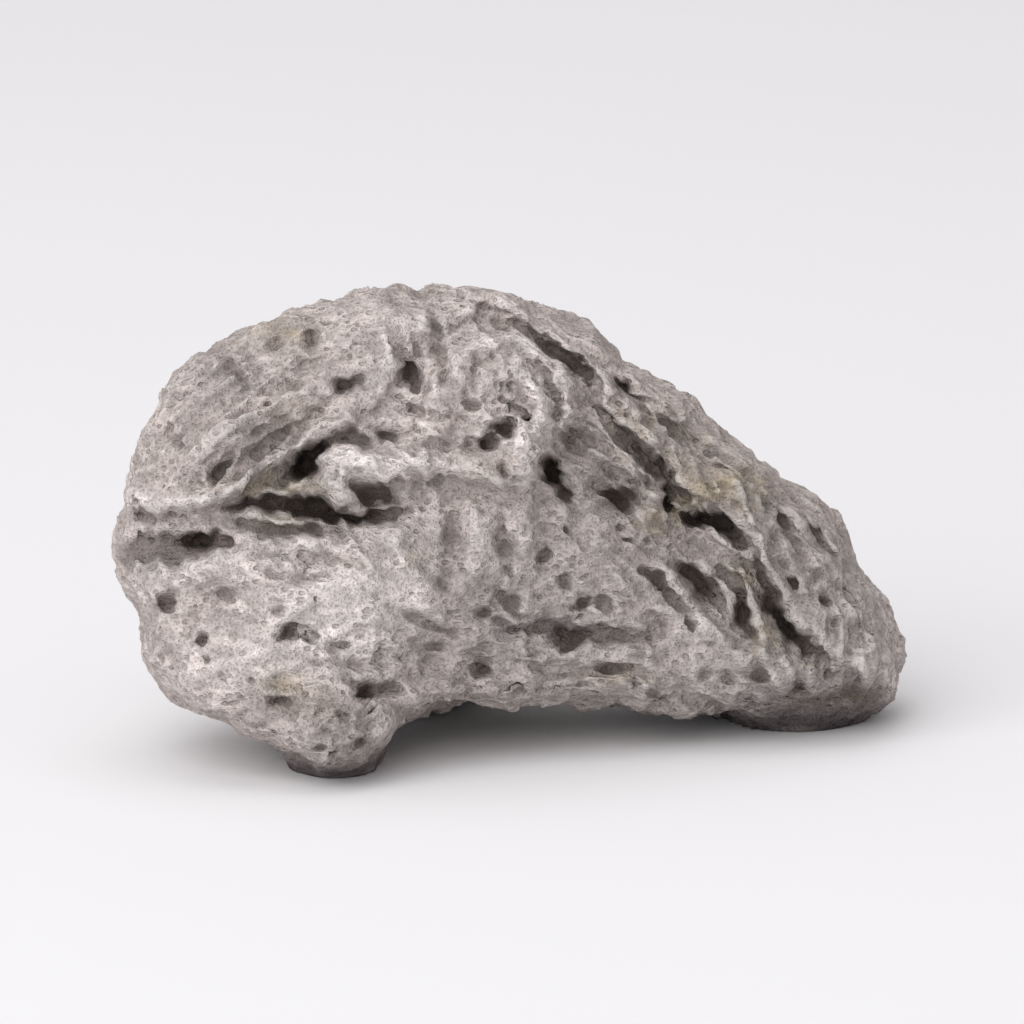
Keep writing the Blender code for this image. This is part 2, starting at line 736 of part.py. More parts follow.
def stone_mesh():
    """The stone as a mesh in mm, thinned out where it is smooth."""
    sphere, directions = quad_sphere(CUTS)
    quads = np.array([[vertex.index for vertex in face.verts] for face in sphere.faces])
    for vertex, point in zip(sphere.verts, stone_points(directions, quads)):
        vertex.co = point
    mesh = bpy.data.meshes.new(NAME)
    sphere.to_mesh(mesh)
    sphere.free()
    dense = bpy.data.objects.new("dense stone", mesh)
    bpy.context.scene.collection.objects.link(dense)
    thin_out = dense.modifiers.new("thin out", "DECIMATE")
    thin_out.ratio = TRIANGLES / (2 * len(mesh.polygons))
    thin_out.use_collapse_triangulate = True
    bpy.context.view_layer.update()
    thinned = bpy.data.meshes.new_from_object(dense.evaluated_get(bpy.context.evaluated_depsgraph_get()))
    bpy.data.objects.remove(dense)
    bpy.data.meshes.remove(mesh)
    return thinned


def pumice():
    material = bpy.data.materials.new("pumice")
    material.use_nodes = True
    surface = material.node_tree.nodes["Principled BSDF"]
    surface.inputs["Base Color"].default_value = COLOUR
    surface.inputs["Roughness"].default_value = 0.95
    return material


def build():
    """Sets the stone on the floor with its feet flat, and the middle of its outline over the origin."""
    for obj in list(bpy.data.objects):
        bpy.data.objects.remove(obj)
    mesh = stone_mesh()
    points = np.array([vertex.co for vertex in mesh.vertices])
    points[points[:, 2] < GROUND_OFF, 2] = 0
    points[:, :2] -= (points[:, :2].min(axis=0) + points[:, :2].max(axis=0)) / 2
    for vertex, point in zip(mesh.vertices, points * MM):
        vertex.co = point
    mesh.name = NAME
    mesh.materials.append(pumice())
    stone = bpy.data.objects.new(NAME, mesh)
    bpy.context.scene.collection.objects.link(stone)


build()
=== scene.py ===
"""The finished look of one pumice stone, on a pale studio floor.

The stone is a ball of six square grids that numpy moves into shape, from large forms to small: a body
swelled from its outline, facets, feet, folds of the crust, crevices and holes, then the foam: open bubbles,
thin walls between them and drawn-out fibres. What the shape functions work out in millimetres is set into the
frame's box at the end.
"""

import math

import bpy
import numpy as np
from bpy.props import FloatProperty, FloatVectorProperty, IntProperty, PointerProperty
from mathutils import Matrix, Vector


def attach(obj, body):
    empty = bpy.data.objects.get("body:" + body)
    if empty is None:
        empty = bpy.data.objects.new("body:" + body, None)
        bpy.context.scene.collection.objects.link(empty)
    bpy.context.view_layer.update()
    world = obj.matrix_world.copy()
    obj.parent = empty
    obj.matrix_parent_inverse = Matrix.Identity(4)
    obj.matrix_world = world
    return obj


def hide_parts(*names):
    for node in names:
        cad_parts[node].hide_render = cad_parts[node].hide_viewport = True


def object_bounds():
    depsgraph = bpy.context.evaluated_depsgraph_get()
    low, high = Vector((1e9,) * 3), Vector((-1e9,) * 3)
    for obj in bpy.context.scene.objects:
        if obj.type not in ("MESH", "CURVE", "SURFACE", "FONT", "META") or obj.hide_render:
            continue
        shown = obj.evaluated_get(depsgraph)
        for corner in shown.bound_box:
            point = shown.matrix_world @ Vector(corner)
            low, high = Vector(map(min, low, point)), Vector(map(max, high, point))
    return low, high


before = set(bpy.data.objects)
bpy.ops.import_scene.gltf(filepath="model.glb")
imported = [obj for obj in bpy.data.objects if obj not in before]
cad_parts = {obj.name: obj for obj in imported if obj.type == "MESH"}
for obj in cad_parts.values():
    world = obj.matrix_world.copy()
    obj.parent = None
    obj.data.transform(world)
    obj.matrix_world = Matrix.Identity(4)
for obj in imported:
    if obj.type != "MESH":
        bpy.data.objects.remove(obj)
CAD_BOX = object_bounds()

bl_info = {
    "name": "Pumice Stone",
    "version": (1, 0, 0),
    "blender": (4, 5, 0),
    "location": "3D View > Sidebar > Pumice",
    "description": "Builds a pumice stone and the studio that it stands in",
    "category": "Add Mesh",
}

STONE = "pumice_stone_surface"
NODE = "pumice_stone"
MM = 0.001

# ---------------------------------------------------------------- the stone's form, in mm

FACE_TILT = math.radians(12)  # the face is laid out as seen from this far above the horizon
TOE_BACK = -13.0  # Y of the front toe, where "up the face" starts at 0
MIDDLE = (0.0, 18.0, 2.0)  # across, up the face, back: the point that the body swells from
FRONT_SWELL = (-4.0, -2.0, -12.0)  # from the middle to the foremost point of the plain body
BACK_SHARE = 1.45  # how far the back swells, as a share of the front
FULLNESS = 0.84  # 1 swells as an ellipsoid, and less is boxier
PLAIN_EDGE = (27.0, 16.5, 6.0)  # half width, half height and slant of the oval that the outline departs from
RIM_ROUNDING = 2.5  # half degrees that the outline's corners are rounded over
BACK_ROUNDING = 14.0  # and the same behind it, where the corners die away
SHARP_EDGE = (-0.45, 0.0)  # how far round from behind the edge its sharp corners come in, and are whole
PLAIN_FADE = (0.15, 1.0)  # how far out from the middle of the face the oval gives way to the outline
HALF_DEGREES = 720  # in a full turn
RIM_FADE = (0.03, 0.30)  # how far inside the edge the face's features start, and where they are whole
CROWDING = 0.28  # how much the grids crowd towards the face, which has the finest features

# The stone's edge as its face is looked at: across, up the face, and how far back that edge lies
OUTLINE = [
    (-10.6, 0.4, -12.6), (-11.6, 0, -13), (-13.4, 0, -13), (-17.5, 1.6, -11.5), (-21.8, 3.9, -9),
    (-25.2, 5.4, -7.5), (-28, 8.2, -6), (-28.3, 11.5, -5), (-29.6, 15, -4.5), (-29.9, 18, -4),
    (-29.2, 22, -3), (-28.4, 25, -2), (-26.6, 28, -1.5), (-26, 30, -1), (-21.5, 33.4, 1), (-16, 35.2, 2),
    (-13, 35.9, 2.5), (-9.6, 37.3, 3), (-4, 36.7, 4), (1.5, 36.1, 5), (6, 33.7, 6), (13, 28.8, 7),
    (20, 23.2, 8), (25.5, 18.8, 8), (28, 14.6, 8), (30, 11.4, 7.5), (30.5, 8.6, 7), (29.8, 5.8, 5.5),
    (27.8, 3.9, 4.5), (21, 3.2, 3.5), (17, 3.4, 3), (15.2, 5, 1), (6, 5, -2), (-1, 5.1, -5),
    (-5, 5.2, -6.5), (-7.9, 4.3, -9),
]

# Broad swellings of the face: across, up, half width, half height, how far out, or in where it is below 0
SWELLINGS = {
    "jaw": (-18, 11, 11, 8, 2.4),
    "hood": (-19, 28, 9, 7, 1.2),
    "bulge above the trough": (-23.6, 24.6, 4.2, 3.6, 0.7),
    "brow": (-3, 28, 7, 5, 1.6),
    "knuckle of the brow": (-0.6, 31, 2.6, 1.7, 1.2),
    "nose of the brow": (1.6, 24.9, 1.2, 2.6, 1.1),
    "foot knob": (25.6, 11.6, 4.8, 6, 1.7),
    "belly": (0, 15.5, 8, 7, 1),
    "bump in the hollow": (7, 23.6, 1.5, 1.2, 0.8),
    "cheek of the jaw": (-12, 13.2, 4.2, 2.2, 1),
    "brow of the jaw": (-21.5, 15.6, 4.4, 1.8, 0.8),
    "chin": (-21.5, 8, 3.6, 3, 0.7),
    "toe": (-13.4, 5, 3.6, 3.2, 0.3),
    "sill knob": (15.4, 8.8, 2.8, 2.4, 0.9),
    "undercut of the foot": (24, 4.8, 5.5, 1.9, -1.8),
}

# Plates of the face, each standing out from what is round it: how far out, softness of its edge, its border
PLATES = {
    "hood": (1.5, 0.6, [(-33, 20.4), (-26, 19.8), (-21.5, 20.9), (-18.6, 23), (-16.3, 25.2), (-12, 26.6),
        (-8.8, 29.4), (-8.2, 31), (-6.6, 33), (-3.4, 34.2), (-1.8, 36), (-1.8, 41), (-33, 41)]),
    "tongue and brow": (1.9, 0.5, [(-14.3, 22), (-13.9, 23.8), (-12.7, 24.7), (-9.5, 24.9), (-7, 25.8),
        (-6.6, 28), (-5.6, 31.2), (-2, 33.2), (2, 32.2), (4.4, 29.8), (5.1, 27.4), (3.6, 25.4), (2.6, 22.6),
        (0.6, 22), (-3, 22.2), (-7.2, 22.4), (-11.6, 22.2), (-12, 20.4), (-13.2, 20.2)]),
    "jaw": (1.5, 1.4, [(-33, 15.6), (-24.8, 15.8), (-21.2, 17.3), (-19, 18.3), (-12.5, 18.3), (-8, 18.6),
        (-6, 15.5), (-5.6, 12), (-7.4, 8.4), (-11, 6.4), (-9.2, 4), (-8.8, 2.5), (-8.8, -4), (-33, -4)]),
    "roof": (2.0, 0.5, [(-1.5, 35.5), (2.8, 33.2), (5, 31.6), (6.8, 29.8), (6.8, 28.2), (9.2, 25.9),
        (11.6, 23.7), (13.2, 21.6), (14.2, 19.9), (16.7, 19.4), (18.2, 18), (19.5, 15.6), (20.6, 13.2),
        (21.8, 11.2), (23.6, 9.7), (25, 8.2), (33, 5), (33, 41), (-1.5, 41)]),
    "sill": (1.1, 0.7, [(10.5, 9.4), (13.4, 12), (16.8, 11), (17.6, 9.8), (20.4, 9.2), (22.6, 8), (25, 6.4),
        (30, 0), (9, 0)]),
}

# Folds of the face, each a path of (across, up, half width, depth). What has a depth below 0 stands out.
FOLDS = {
    "lip of the hood": [(-28.5, 20.6, 1.2, -0.4), (-25, 20.2, 1.1, -0.7), (-21.6, 20.7, 1, -0.9),
        (-18.7, 22.4, 0.8, -1.1), (-16.5, 24.4, 0.7, -1.1), (-14.4, 25.8, 0.7, -0.9),
        (-12, 26.5, 0.7, -0.6), (-9.6, 27.1, 0.7, -0.3)],
    "trough above the lip": [(-22, 22.2, 0.8, 0.8), (-20.4, 23.3, 1.1, 1.4), (-18.4, 24.7, 1.2, 1.9),
        (-16.5, 26, 1.2, 1.6), (-14.4, 27.3, 1, 0.9), (-12.6, 28.4, 0.8, 0.5)],
    "bank above the trough": [(-24.8, 22.8, 1.1, -0.4), (-22.4, 24.8, 1.1, -0.8), (-19.8, 26.8, 1, -0.9),
        (-17, 28.2, 0.9, -0.7), (-15, 29.2, 0.9, -0.3)],
    "mouth": [(-21, 20.6, 0.6, 0.8), (-19.4, 21.6, 0.9, 1.5), (-17.8, 22.5, 1.1, 2.2),
        (-16.4, 23.1, 1, 3.8), (-15.3, 23.6, 0.95, 6.4), (-14.7, 24.4, 0.75, 4.6), (-13.8, 24.8, 0.5, 2.6)],
    "cleft above the tongue": [(-14.2, 24.8, 0.5, 2), (-13.2, 25.2, 0.5, 1.2), (-12, 25.5, 0.55, 1),
        (-11.2, 25.3, 0.5, 0.8), (-11.1, 24.8, 0.3, 0.4)],
    "crevice in the mouth": [(-21.6, 19.8, 0.4, 1.2), (-19.6, 20.5, 0.6, 3.4), (-17.4, 20.7, 0.65, 4.4),
        (-15.2, 20.3, 0.65, 4.8), (-13.4, 19.7, 0.7, 5.2), (-11.6, 19.4, 0.6, 4.6), (-9.4, 19.6, 0.5, 3),
        (-7.8, 20, 0.5, 1.4)],
    "ledge in the mouth": [(-19, 19.3, 0.4, -0.5), (-17, 19.3, 0.5, -1.2), (-15.4, 19.1, 0.4, -0.6)],
    "crease under the ledge": [(-20, 18.9, 0.4, 1), (-18.2, 18.6, 0.5, 1.6), (-15.4, 18.4, 0.5, 1.8),
        (-12.6, 18.5, 0.4, 1.2)],
    "left notch": [(-29.5, 16.9, 1.2, 0.7), (-27, 16.9, 1.3, 1.7), (-24.8, 17, 1.2, 2.2),
        (-23, 17.2, 1, 2.4)],
    "roof of the notch": [(-27.5, 17.9, 0.5, 0.5), (-25, 17.8, 0.6, 1.2), (-23.4, 17.6, 0.75, 3),
        (-22.3, 17.4, 0.85, 4.6), (-21.3, 17.6, 0.5, 2.6)],
    "tongue": [(-12.7, 20.9, 0.6, -0.8), (-13.1, 22.3, 0.8, -1.2), (-12.1, 23.5, 1.1, -1.6),
        (-10.4, 23.7, 1.1, -1.7), (-8, 23.6, 1, -1.4), (-5, 23.3, 0.9, -1), (-2.4, 23.1, 0.9, -0.9)],
    "rim of the eye": [(-11.8, 20.5, 0.4, -0.4), (-12.1, 21.8, 0.4, -0.6), (-10.4, 22.6, 0.4, -0.6),
        (-8.2, 22.4, 0.4, -0.5), (-7.2, 21.4, 0.4, -0.2)],
    "pebble in the eye": [(-9.8, 21, 0.5, -1.7), (-8.9, 20.8, 0.45, -1.5)],
    "arc of the brow": [(-3.9, 31.4, 0.6, -0.4), (-2.2, 33, 0.6, -1), (0.6, 33.2, 0.6, -1.3),
        (3.2, 31.4, 0.6, -1.4), (4.8, 29, 0.6, -1.4), (5, 27, 0.6, -1.2), (3.8, 25.4, 0.5, -0.6)],
    "groove inside the arc": [(-3, 30.6, 0.4, 0.4), (-1, 32.3, 0.45, 0.7), (1.2, 31.9, 0.5, 0.9),
        (2.8, 30, 0.5, 1), (3.8, 27.8, 0.5, 1.1), (3.5, 26, 0.4, 0.6)],
    "inner arc": [(0.4, 30.8, 0.5, -0.5), (1.9, 29.6, 0.5, -1.2), (2.5, 27.6, 0.5, -1.3),
        (2.2, 26, 0.5, -1)],
    "groove inside the inner arc": [(-0.8, 29.8, 0.35, 0.3), (0.8, 29, 0.4, 0.6), (1.4, 27.4, 0.4, 0.6)],
    "outer groove of the brow": [(-1, 34.3, 0.4, 0.4), (1.8, 33.2, 0.5, 0.8), (3.2, 32.4, 0.55, 1.6),
        (4.8, 31.4, 0.7, 2.4), (6, 30.5, 0.65, 2.4), (6.8, 29.6, 0.4, 0.8)],
    "hollow beside the brow": [(4.8, 25.6, 1, 0.8), (6, 24.9, 1.2, 0.9), (8.4, 22.4, 1.8, 1.4),
        (8.8, 20.8, 1.6, 1.7), (6.4, 20.9, 1.2, 0.8)],
    "edge of the hollow": [(5.8, 27.6, 0.6, -0.4), (7.4, 26.2, 0.6, -0.9), (9.4, 24.3, 0.6, -1.2),
        (10.8, 22.4, 0.6, -1.2), (10.8, 20.6, 0.5, -0.5)],
    "long groove": [(5.2, 28.4, 0.4, 0.5), (7, 27, 0.5, 0.9), (8.6, 25.7, 0.7, 1.9), (10, 24.5, 0.85, 2.6),
        (11.4, 23.2, 0.8, 2.4), (12.8, 22, 0.6, 1.6), (13.5, 21.3, 0.4, 0.6)],
    "first strand of the roof": [(2.4, 34, 0.6, -0.3), (5.6, 31.6, 0.6, -0.8), (8.6, 28.4, 0.6, -1),
        (11.6, 25.8, 0.6, -0.9), (14, 23.6, 0.6, -0.5)],
    "groove along the roof": [(7.9, 29.9, 0.45, 0.8), (8.6, 29.3, 0.7, 2), (9.8, 28.1, 0.5, 0.9),
        (11.2, 26.8, 0.5, 1), (12.6, 25.8, 0.55, 1.2), (13.8, 24.9, 0.4, 0.5)],
    "second strand of the roof": [(4, 34.2, 0.6, -0.3), (8, 31.6, 0.6, -0.7), (12, 28.2, 0.6, -0.8),
        (16, 25, 0.6, -0.8), (19.6, 22.4, 0.6, -0.6)],
    "trough along the shoulder": [(19.4, 20.8, 0.4, 0.6), (20.6, 19, 0.6, 1.2), (22, 17.2, 0.6, 1.3),
        (23, 15.8, 0.5, 0.6)],
    "strand of the shoulder": [(20.6, 20.8, 0.5, -0.3), (22, 19.2, 0.5, -0.8), (23.4, 17.4, 0.5, -0.7),
        (24.6, 15.6, 0.4, -0.3)],
    "second trough along the shoulder": [(22, 20, 0.4, 0.5), (23.4, 18.2, 0.5, 1.1), (24.8, 16.6, 0.5, 1.1),
        (25.8, 15.4, 0.4, 0.5)],
    "belly of the roof": [(13.4, 22, 0.8, -0.5), (16, 21.8, 1.1, -1.5), (18.4, 20.4, 1.1, -1.5),
        (19.3, 18, 0.8, -0.9), (19.8, 15.8, 0.6, -0.4)],
    "slot under the roof": [(13.3, 19.6, 0.4, 2.2), (14.2, 19.2, 0.42, 4), (15.4, 19, 0.42, 4.4),
        (16.7, 18.8, 0.42, 4), (17.4, 18.2, 0.42, 2.6), (17.9, 17.5, 0.35, 1)],
    "hollow under the roof": [(11, 17.4, 1.8, 0.5), (14, 16.9, 1.8, 1.2), (17, 15.6, 1.6, 1.4),
        (18.4, 13.6, 1.4, 1.4)],
    "corner of the slot": [(10.4, 19.9, 0.6, -0.4), (11.8, 19.7, 0.7, -0.9), (13, 18.7, 0.6, -0.6)],
    "upper crevice": [(12.9, 15.5, 0.5, 1.6), (13.7, 15, 0.95, 3.6), (14.5, 14.3, 1, 3.8),
        (15.4, 13.4, 0.7, 2.4), (16.3, 12.7, 0.4, 0.8)],
    "shallow crevice": [(10.1, 15.6, 0.4, 0.7), (11.2, 14.7, 0.55, 1.7), (12.2, 13.6, 0.45, 1.2)],
    "stave between the crevices": [(11.2, 16.4, 0.4, -0.4), (12.5, 15, 0.45, -1), (13.6, 13.3, 0.5, -1),
        (15, 12, 0.5, -0.6)],
    "stave beside the crevices": [(8.4, 16.6, 0.5, -0.4), (9.9, 14.8, 0.5, -0.8), (11.4, 13, 0.5, -0.8),
        (13, 11.8, 0.5, -0.5)],
    "short crevice": [(17.3, 14, 0.4, 0.8), (17.8, 12.9, 0.6, 2.6), (18.1, 11.9, 0.7, 3.2),
        (18.5, 10.7, 0.45, 1.8)],
    "stave beside the short crevice": [(16.6, 16.2, 0.5, -0.5), (18.4, 14.8, 0.45, -1),
        (18.9, 12.6, 0.5, -1.3), (19.3, 10.6, 0.55, -1.3), (19.8, 8.8, 0.5, -0.7)],
    "crevice beside the foot": [(18.9, 16.5, 0.35, 1), (19.4, 14.9, 0.4, 1.8), (19.6, 14, 0.35, 1.4),
        (19.9, 12.9, 0.45, 3.6), (20.7, 11.7, 0.65, 4.6), (21.5, 10.7, 0.65, 4.6), (22.6, 9.7, 0.5, 3.4),
        (24, 8.8, 0.4, 1.4)],
    "lip beside the foot": [(21.2, 8.4, 0.5, -0.6), (22.6, 8.2, 0.5, -0.8), (24, 7.2, 0.5, -0.4)],
    "groove across the front": [(-0.8, 11.5, 0.5, 0.8), (0.8, 11.2, 0.6, 1.6), (2.4, 11, 0.6, 1.4),
        (4, 10.4, 1, 2), (6, 10.3, 1, 2), (8, 10.6, 0.6, 1.4), (10.4, 10.5, 0.5, 1)],
    "crease above the groove": [(2.2, 11.8, 0.35, 0.9), (3.6, 11.5, 0.4, 1.2), (4.8, 11.8, 0.3, 0.5)],
    "left flute": [(-4.6, 20.6, 0.6, 0.4), (-4.6, 17.8, 0.9, 1.1), (-5, 14.6, 0.7, 0.6)],
    "middle flute": [(-0.6, 20.4, 0.5, 0.4), (-0.4, 17.4, 0.7, 1.2), (-0.2, 15.2, 0.5, 0.5)],
    "slanting flute": [(-0.6, 14.4, 0.4, 0.6), (0, 13.2, 0.5, 1.2), (0.9, 12, 0.4, 0.7)],
    "right flute": [(2.4, 18.6, 0.4, 0.3), (2.5, 16.8, 0.5, 1), (2.7, 15, 0.4, 0.4)],
    "rib between the flutes": [(-2.7, 21, 0.8, -0.4), (-2.6, 18, 0.8, -1), (-2.9, 14.4, 0.7, -0.4)],
    "right rib": [(1, 20.6, 0.5, -0.3), (1.1, 17.8, 0.5, -0.7), (1.2, 15.4, 0.5, -0.3)],
    "bent ridge": [(5.6, 19.6, 0.7, -0.3), (7, 17.4, 0.7, -0.9), (8.2, 15, 0.6, -0.9),
        (9.8, 13.2, 0.6, -0.7), (12.2, 12, 0.6, -0.5)],
    "ridge under the groove": [(-1.2, 9.8, 0.6, -0.4), (2.8, 8.9, 0.6, -0.7), (6.6, 9.2, 0.6, -0.9),
        (9.6, 9.4, 0.5, -0.7), (12.4, 9.8, 0.5, -0.3)],
    "ridge along the arch": [(-5.6, 7.2, 0.6, -0.4), (-1, 6.9, 0.6, -0.6), (4, 6.9, 0.6, -0.6),
        (8.6, 6.7, 0.6, -0.6), (12.2, 6.6, 0.6, -0.4)],
    "upper wrinkle beside the jaw": [(-8.6, 12.6, 0.35, 0.4), (-7.4, 12.2, 0.5, 1.1), (-5.6, 11.4, 0.45, 1),
        (-4.2, 10.8, 0.3, 0.4)],
    "lower wrinkle beside the jaw": [(-8.6, 10.4, 0.35, 0.3), (-6.6, 9.8, 0.4, 0.6), (-4.4, 9, 0.35, 0.4)],
    "corner under the jaw": [(-12.1, 7.6, 0.4, 0.9), (-11.2, 6.6, 0.75, 2.6), (-10.2, 6.5, 0.6, 1.4),
        (-8.6, 6.4, 0.5, 0.6)],
    "upper wrinkle of the jaw": [(-20, 16.6, 0.4, 0.4), (-16.6, 16.6, 0.45, 0.8), (-14, 16.2, 0.6, 0.9),
        (-11.4, 15.8, 0.5, 0.6)],
    "lower wrinkle of the jaw": [(-18, 15.2, 0.35, 0.4), (-15.4, 15, 0.45, 0.7), (-12.4, 15.2, 0.4, 0.5)],
    "ledge of the jaw": [(-14.2, 8.8, 0.4, 0.4), (-11.8, 8.4, 0.5, 0.8), (-9.4, 8.4, 0.4, 0.6)],
    "first slot of the crown": [(-8.2, 32.6, 0.5, 0.6), (-7.9, 31.4, 0.7, 1.4), (-7.6, 30.2, 0.65, 2.8),
        (-7.4, 29.4, 0.45, 1.6)],
    "second slot of the crown": [(-5.6, 35, 0.4, 0.8), (-5.4, 33.9, 0.6, 1.4), (-5.2, 33, 0.4, 0.6)],
    "third slot of the crown": [(-5.1, 32.2, 0.4, 0.4), (-4.9, 31.1, 0.7, 1.9), (-4.8, 29.8, 0.5, 1.2)],
    "fourth slot of the crown": [(-2.8, 32, 0.4, 0.4), (-2.5, 30.8, 0.5, 0.8), (-2.5, 29.4, 0.4, 0.4)],
    "rib of the crown": [(-9.6, 33.8, 0.6, -0.4), (-9.1, 31.6, 0.6, -0.8), (-8.9, 29.6, 0.5, -0.4)],
    "second rib of the crown": [(-6.5, 34.4, 0.4, -0.4), (-6.3, 32.2, 0.45, -0.9), (-6, 29.8, 0.45, -0.7)],
    "third rib of the crown": [(-4.6, 34, 0.4, -0.4), (-3.9, 32, 0.45, -0.9), (-3.7, 29.8, 0.45, -0.7)],
    "fold along the crown": [(-16, 31, 0.5, 0.5), (-13, 31.6, 0.5, 0.7), (-10.6, 32.2, 0.4, 0.3)],
    "scratch of the hood": [(-22.2, 32.2, 0.4, 0.6), (-21, 30.8, 0.6, 1.5), (-19.7, 29.6, 0.4, 0.9)],
    "second scratch of the hood": [(-20.9, 32.4, 0.3, 0.4), (-19.8, 31.4, 0.4, 0.8),
        (-18.9, 30.6, 0.3, 0.3)],
    "lines of the brow": [(-8.6, 27.9, 0.35, 0.3), (-6, 27.3, 0.4, 0.6), (-3.6, 27.4, 0.35, 0.3)],
    "lower lines of the brow": [(-8, 25.2, 0.3, 0.3), (-5.6, 25, 0.4, 0.6), (-3.2, 24.8, 0.35, 0.4)],
}

# Large holes of the face: across, up, half length, half width, turn in degrees, depth
HOLES = [
    (-9.85, 21.15, 2, 1.15, -4, 3), (3.3, 22.9, 0.9, 1.3, 14, 3.6), (4.1, 21.3, 0.7, 0.9, 20, 2.2),
    (11.9, 21.2, 0.8, 1.2, 20, 2.6), (8.6, 20.7, 1.5, 1, -8, 1.8), (5, 25.4, 0.9, 0.8, 0, 0.5),
    (-12.2, 29.5, 1.5, 0.65, 20, 2), (-14.9, 32.9, 0.5, 0.8, 0, 1.6), (-16.2, 29.5, 0.8, 0.5, -10, 0.9),
    (-9.3, 25.6, 0.9, 0.5, -8, 1.8), (-0.4, 26.3, 1.1, 0.75, 0, 2.8), (-1.7, 25.2, 1.2, 0.7, 12, 2.2),
    (-2.6, 28.3, 0.8, 0.5, 10, 1), (-0.2, 23.2, 0.35, 0.8, 8, 1.2), (-21.8, 22.9, 0.7, 0.5, 20, 1.4),
    (-27.4, 19.6, 1, 0.45, -10, 1.6), (-25.5, 25.8, 0.4, 0.8, 5, 0.6), (-17.6, 32.6, 0.9, 0.4, 5, 0.7),
    (16.6, 23.2, 0.6, 0.4, -35, 0.9), (13.3, 28, 0.7, 0.4, -30, 0.8), (5.6, 13.1, 0.9, 0.6, 12, 1.8),
    (4.2, 14.6, 0.7, 0.45, 0, 1), (2.5, 16.6, 0.5, 0.5, 0, 0.9), (9, 17.6, 0.9, 0.5, -10, 0.9),
    (-1.9, 12.3, 0.9, 0.6, 15, 1.6), (-2.1, 8.3, 0.9, 0.75, 10, 1.8), (8, 8.1, 1.5, 0.4, 0, 1.3),
    (1.6, 9, 0.9, 0.35, -25, 0.7), (11, 5.9, 1, 0.45, 0, 0.9), (22.1, 6.6, 0.8, 0.6, 20, 1.8),
    (19.2, 7.3, 0.8, 0.55, 0, 1.4), (16.9, 7.3, 0.6, 0.5, 0, 1.1), (15, 7.4, 0.5, 0.5, 0, 0.9),
    (15.2, 9.9, 0.6, 0.4, 0, 0.7), (24.1, 13, 0.4, 0.8, 5, 1), (25, 11.4, 0.4, 0.7, -10, 0.8),
    (26.6, 11.3, 0.45, 0.8, 0, 1.1), (28, 12.7, 0.5, 0.7, 0, 0.9), (23.4, 15, 0.5, 0.6, 0, 0.8),
    (-25.9, 12.8, 1, 0.75, 20, 1.8), (-21.4, 13.8, 1, 0.5, 0, 1), (-22.9, 10.1, 0.6, 0.5, -20, 1.4),
    (-25.9, 8.9, 0.5, 0.5, 0, 0.7), (-16.8, 10.7, 0.85, 0.6, -45, 2), (-14.7, 10.8, 0.35, 0.6, 0, 1.2),
    (-17.4, 12.5, 0.5, 0.35, 0, 0.9), (-12.7, 9.9, 1, 0.35, 0, 1), (-11.2, 6.6, 0.7, 0.6, 0, 1.6),
    (-17.2, 5.4, 1.2, 0.45, -10, 1.2), (-15.4, 6.2, 0.5, 0.35, 0, 0.8), (-18.4, 3.9, 0.5, 0.3, 0, 0.8),
    (-14, 2, 0.6, 0.4, 10, 1), (-11.1, 2.5, 0.7, 0.6, 30, 1.6), (-12.6, 4.6, 0.4, 0.5, 0, 0.9),
    (-15.8, 3.2, 0.4, 0.4, 0, 0.7),
]

# Broad facets of the back and top: the direction that each faces, and its distance from the stone's middle
FACETS = [
    ((0.25, 0.93, 0.30), 17.3), ((-0.70, 0.66, 0.25), 20.3), ((-0.15, 0.55, 0.80), 18.6),
    ((0.55, 0.30, 0.78), 18.8), ((-0.25, 0.80, -0.55), 18.4),
]
FACET_BLEND = 0.9  # how softly a facet meets what is round it

GROOVE_TAPER, GROOVE_WALL = 0.85, 0.75  # how soon a groove's walls end, and how much of its width they take
RIDGE_TAPER = 0.6  # the same for what stands out
HOLE_REACH, HOLE_WALL = 1.15, 0.8  # where a hole's wall ends, and how wide the wall is, in half widths

ARCH_RISE = 0.4  # how far the underside is raised, before the feet are drawn down from it
UNDERSIDE = (0.2, 0.7)  # how far down a surface faces where it starts to be drawn, and where it is whole

# Feet that the body is drawn down into: across, back, half width, how far down
FEET = [(-13.0, -10.0, 3.6, 3.4), (21.5, 6.5, 5.0, 3.4), (-8.0, 14.0, 7.5, 7.2)]

LUMPS = [(9.0, 0.28), (3.8, 0.16)]  # size and height of the uneven swellings all over
CRUMPLE = [(4.5, 0.12, 5), (1.5, 0.10, 9)]  # size, shift and seed of the raggedness of the features' borders

# Drawn-out fibres: across, up, half width, half height, lie in degrees, spacing and height
FIBRES = {
    "roof": (15, 24, 16, 9, -41, 3, 0.60),
    "under the roof": (14, 14.5, 5.5, 3.6, -44, 2.6, 0.40),
    "flutes": (-0.5, 17.5, 7.5, 3.6, 88, 3.2, 0.40),
    "front": (3, 9.5, 11, 3.4, 2, 2.8, 0.40),
    "jaw": (-18, 10, 10, 8, 14, 3, 0.30),
    "hood": (-21, 27, 8, 6, 42, 2.8, 0.52),
    "crown": (-7, 32.5, 8, 3.6, 82, 2.6, 0.34),
    "brow": (0, 26.5, 6, 3.5, 12, 2.6, 0.24),
    "foot knob": (26, 9.5, 4, 5.5, 78, 2.6, 0.46),
    "toe": (-12.5, 2.5, 4.5, 3, 66, 2.4, 0.34),
}
FIBRE_STRETCH = 3.2
FIBRE_OCTAVES = [(1.0, 1.0), (0.42, 0.5)]  # spacing and height of the coarse and the fine fibres, as shares
BACK_FIBRES = (3.2, 0.36)  # spacing and height of the fibres where the face ends
BACK_FOLDS = (9.0, 0.9)  # and of the broad folds of the back
CREST_WIDTH, CREST_LEVEL = 0.6, 0.4  # of a fibre, and what it is lowered by to leave the surface where it is
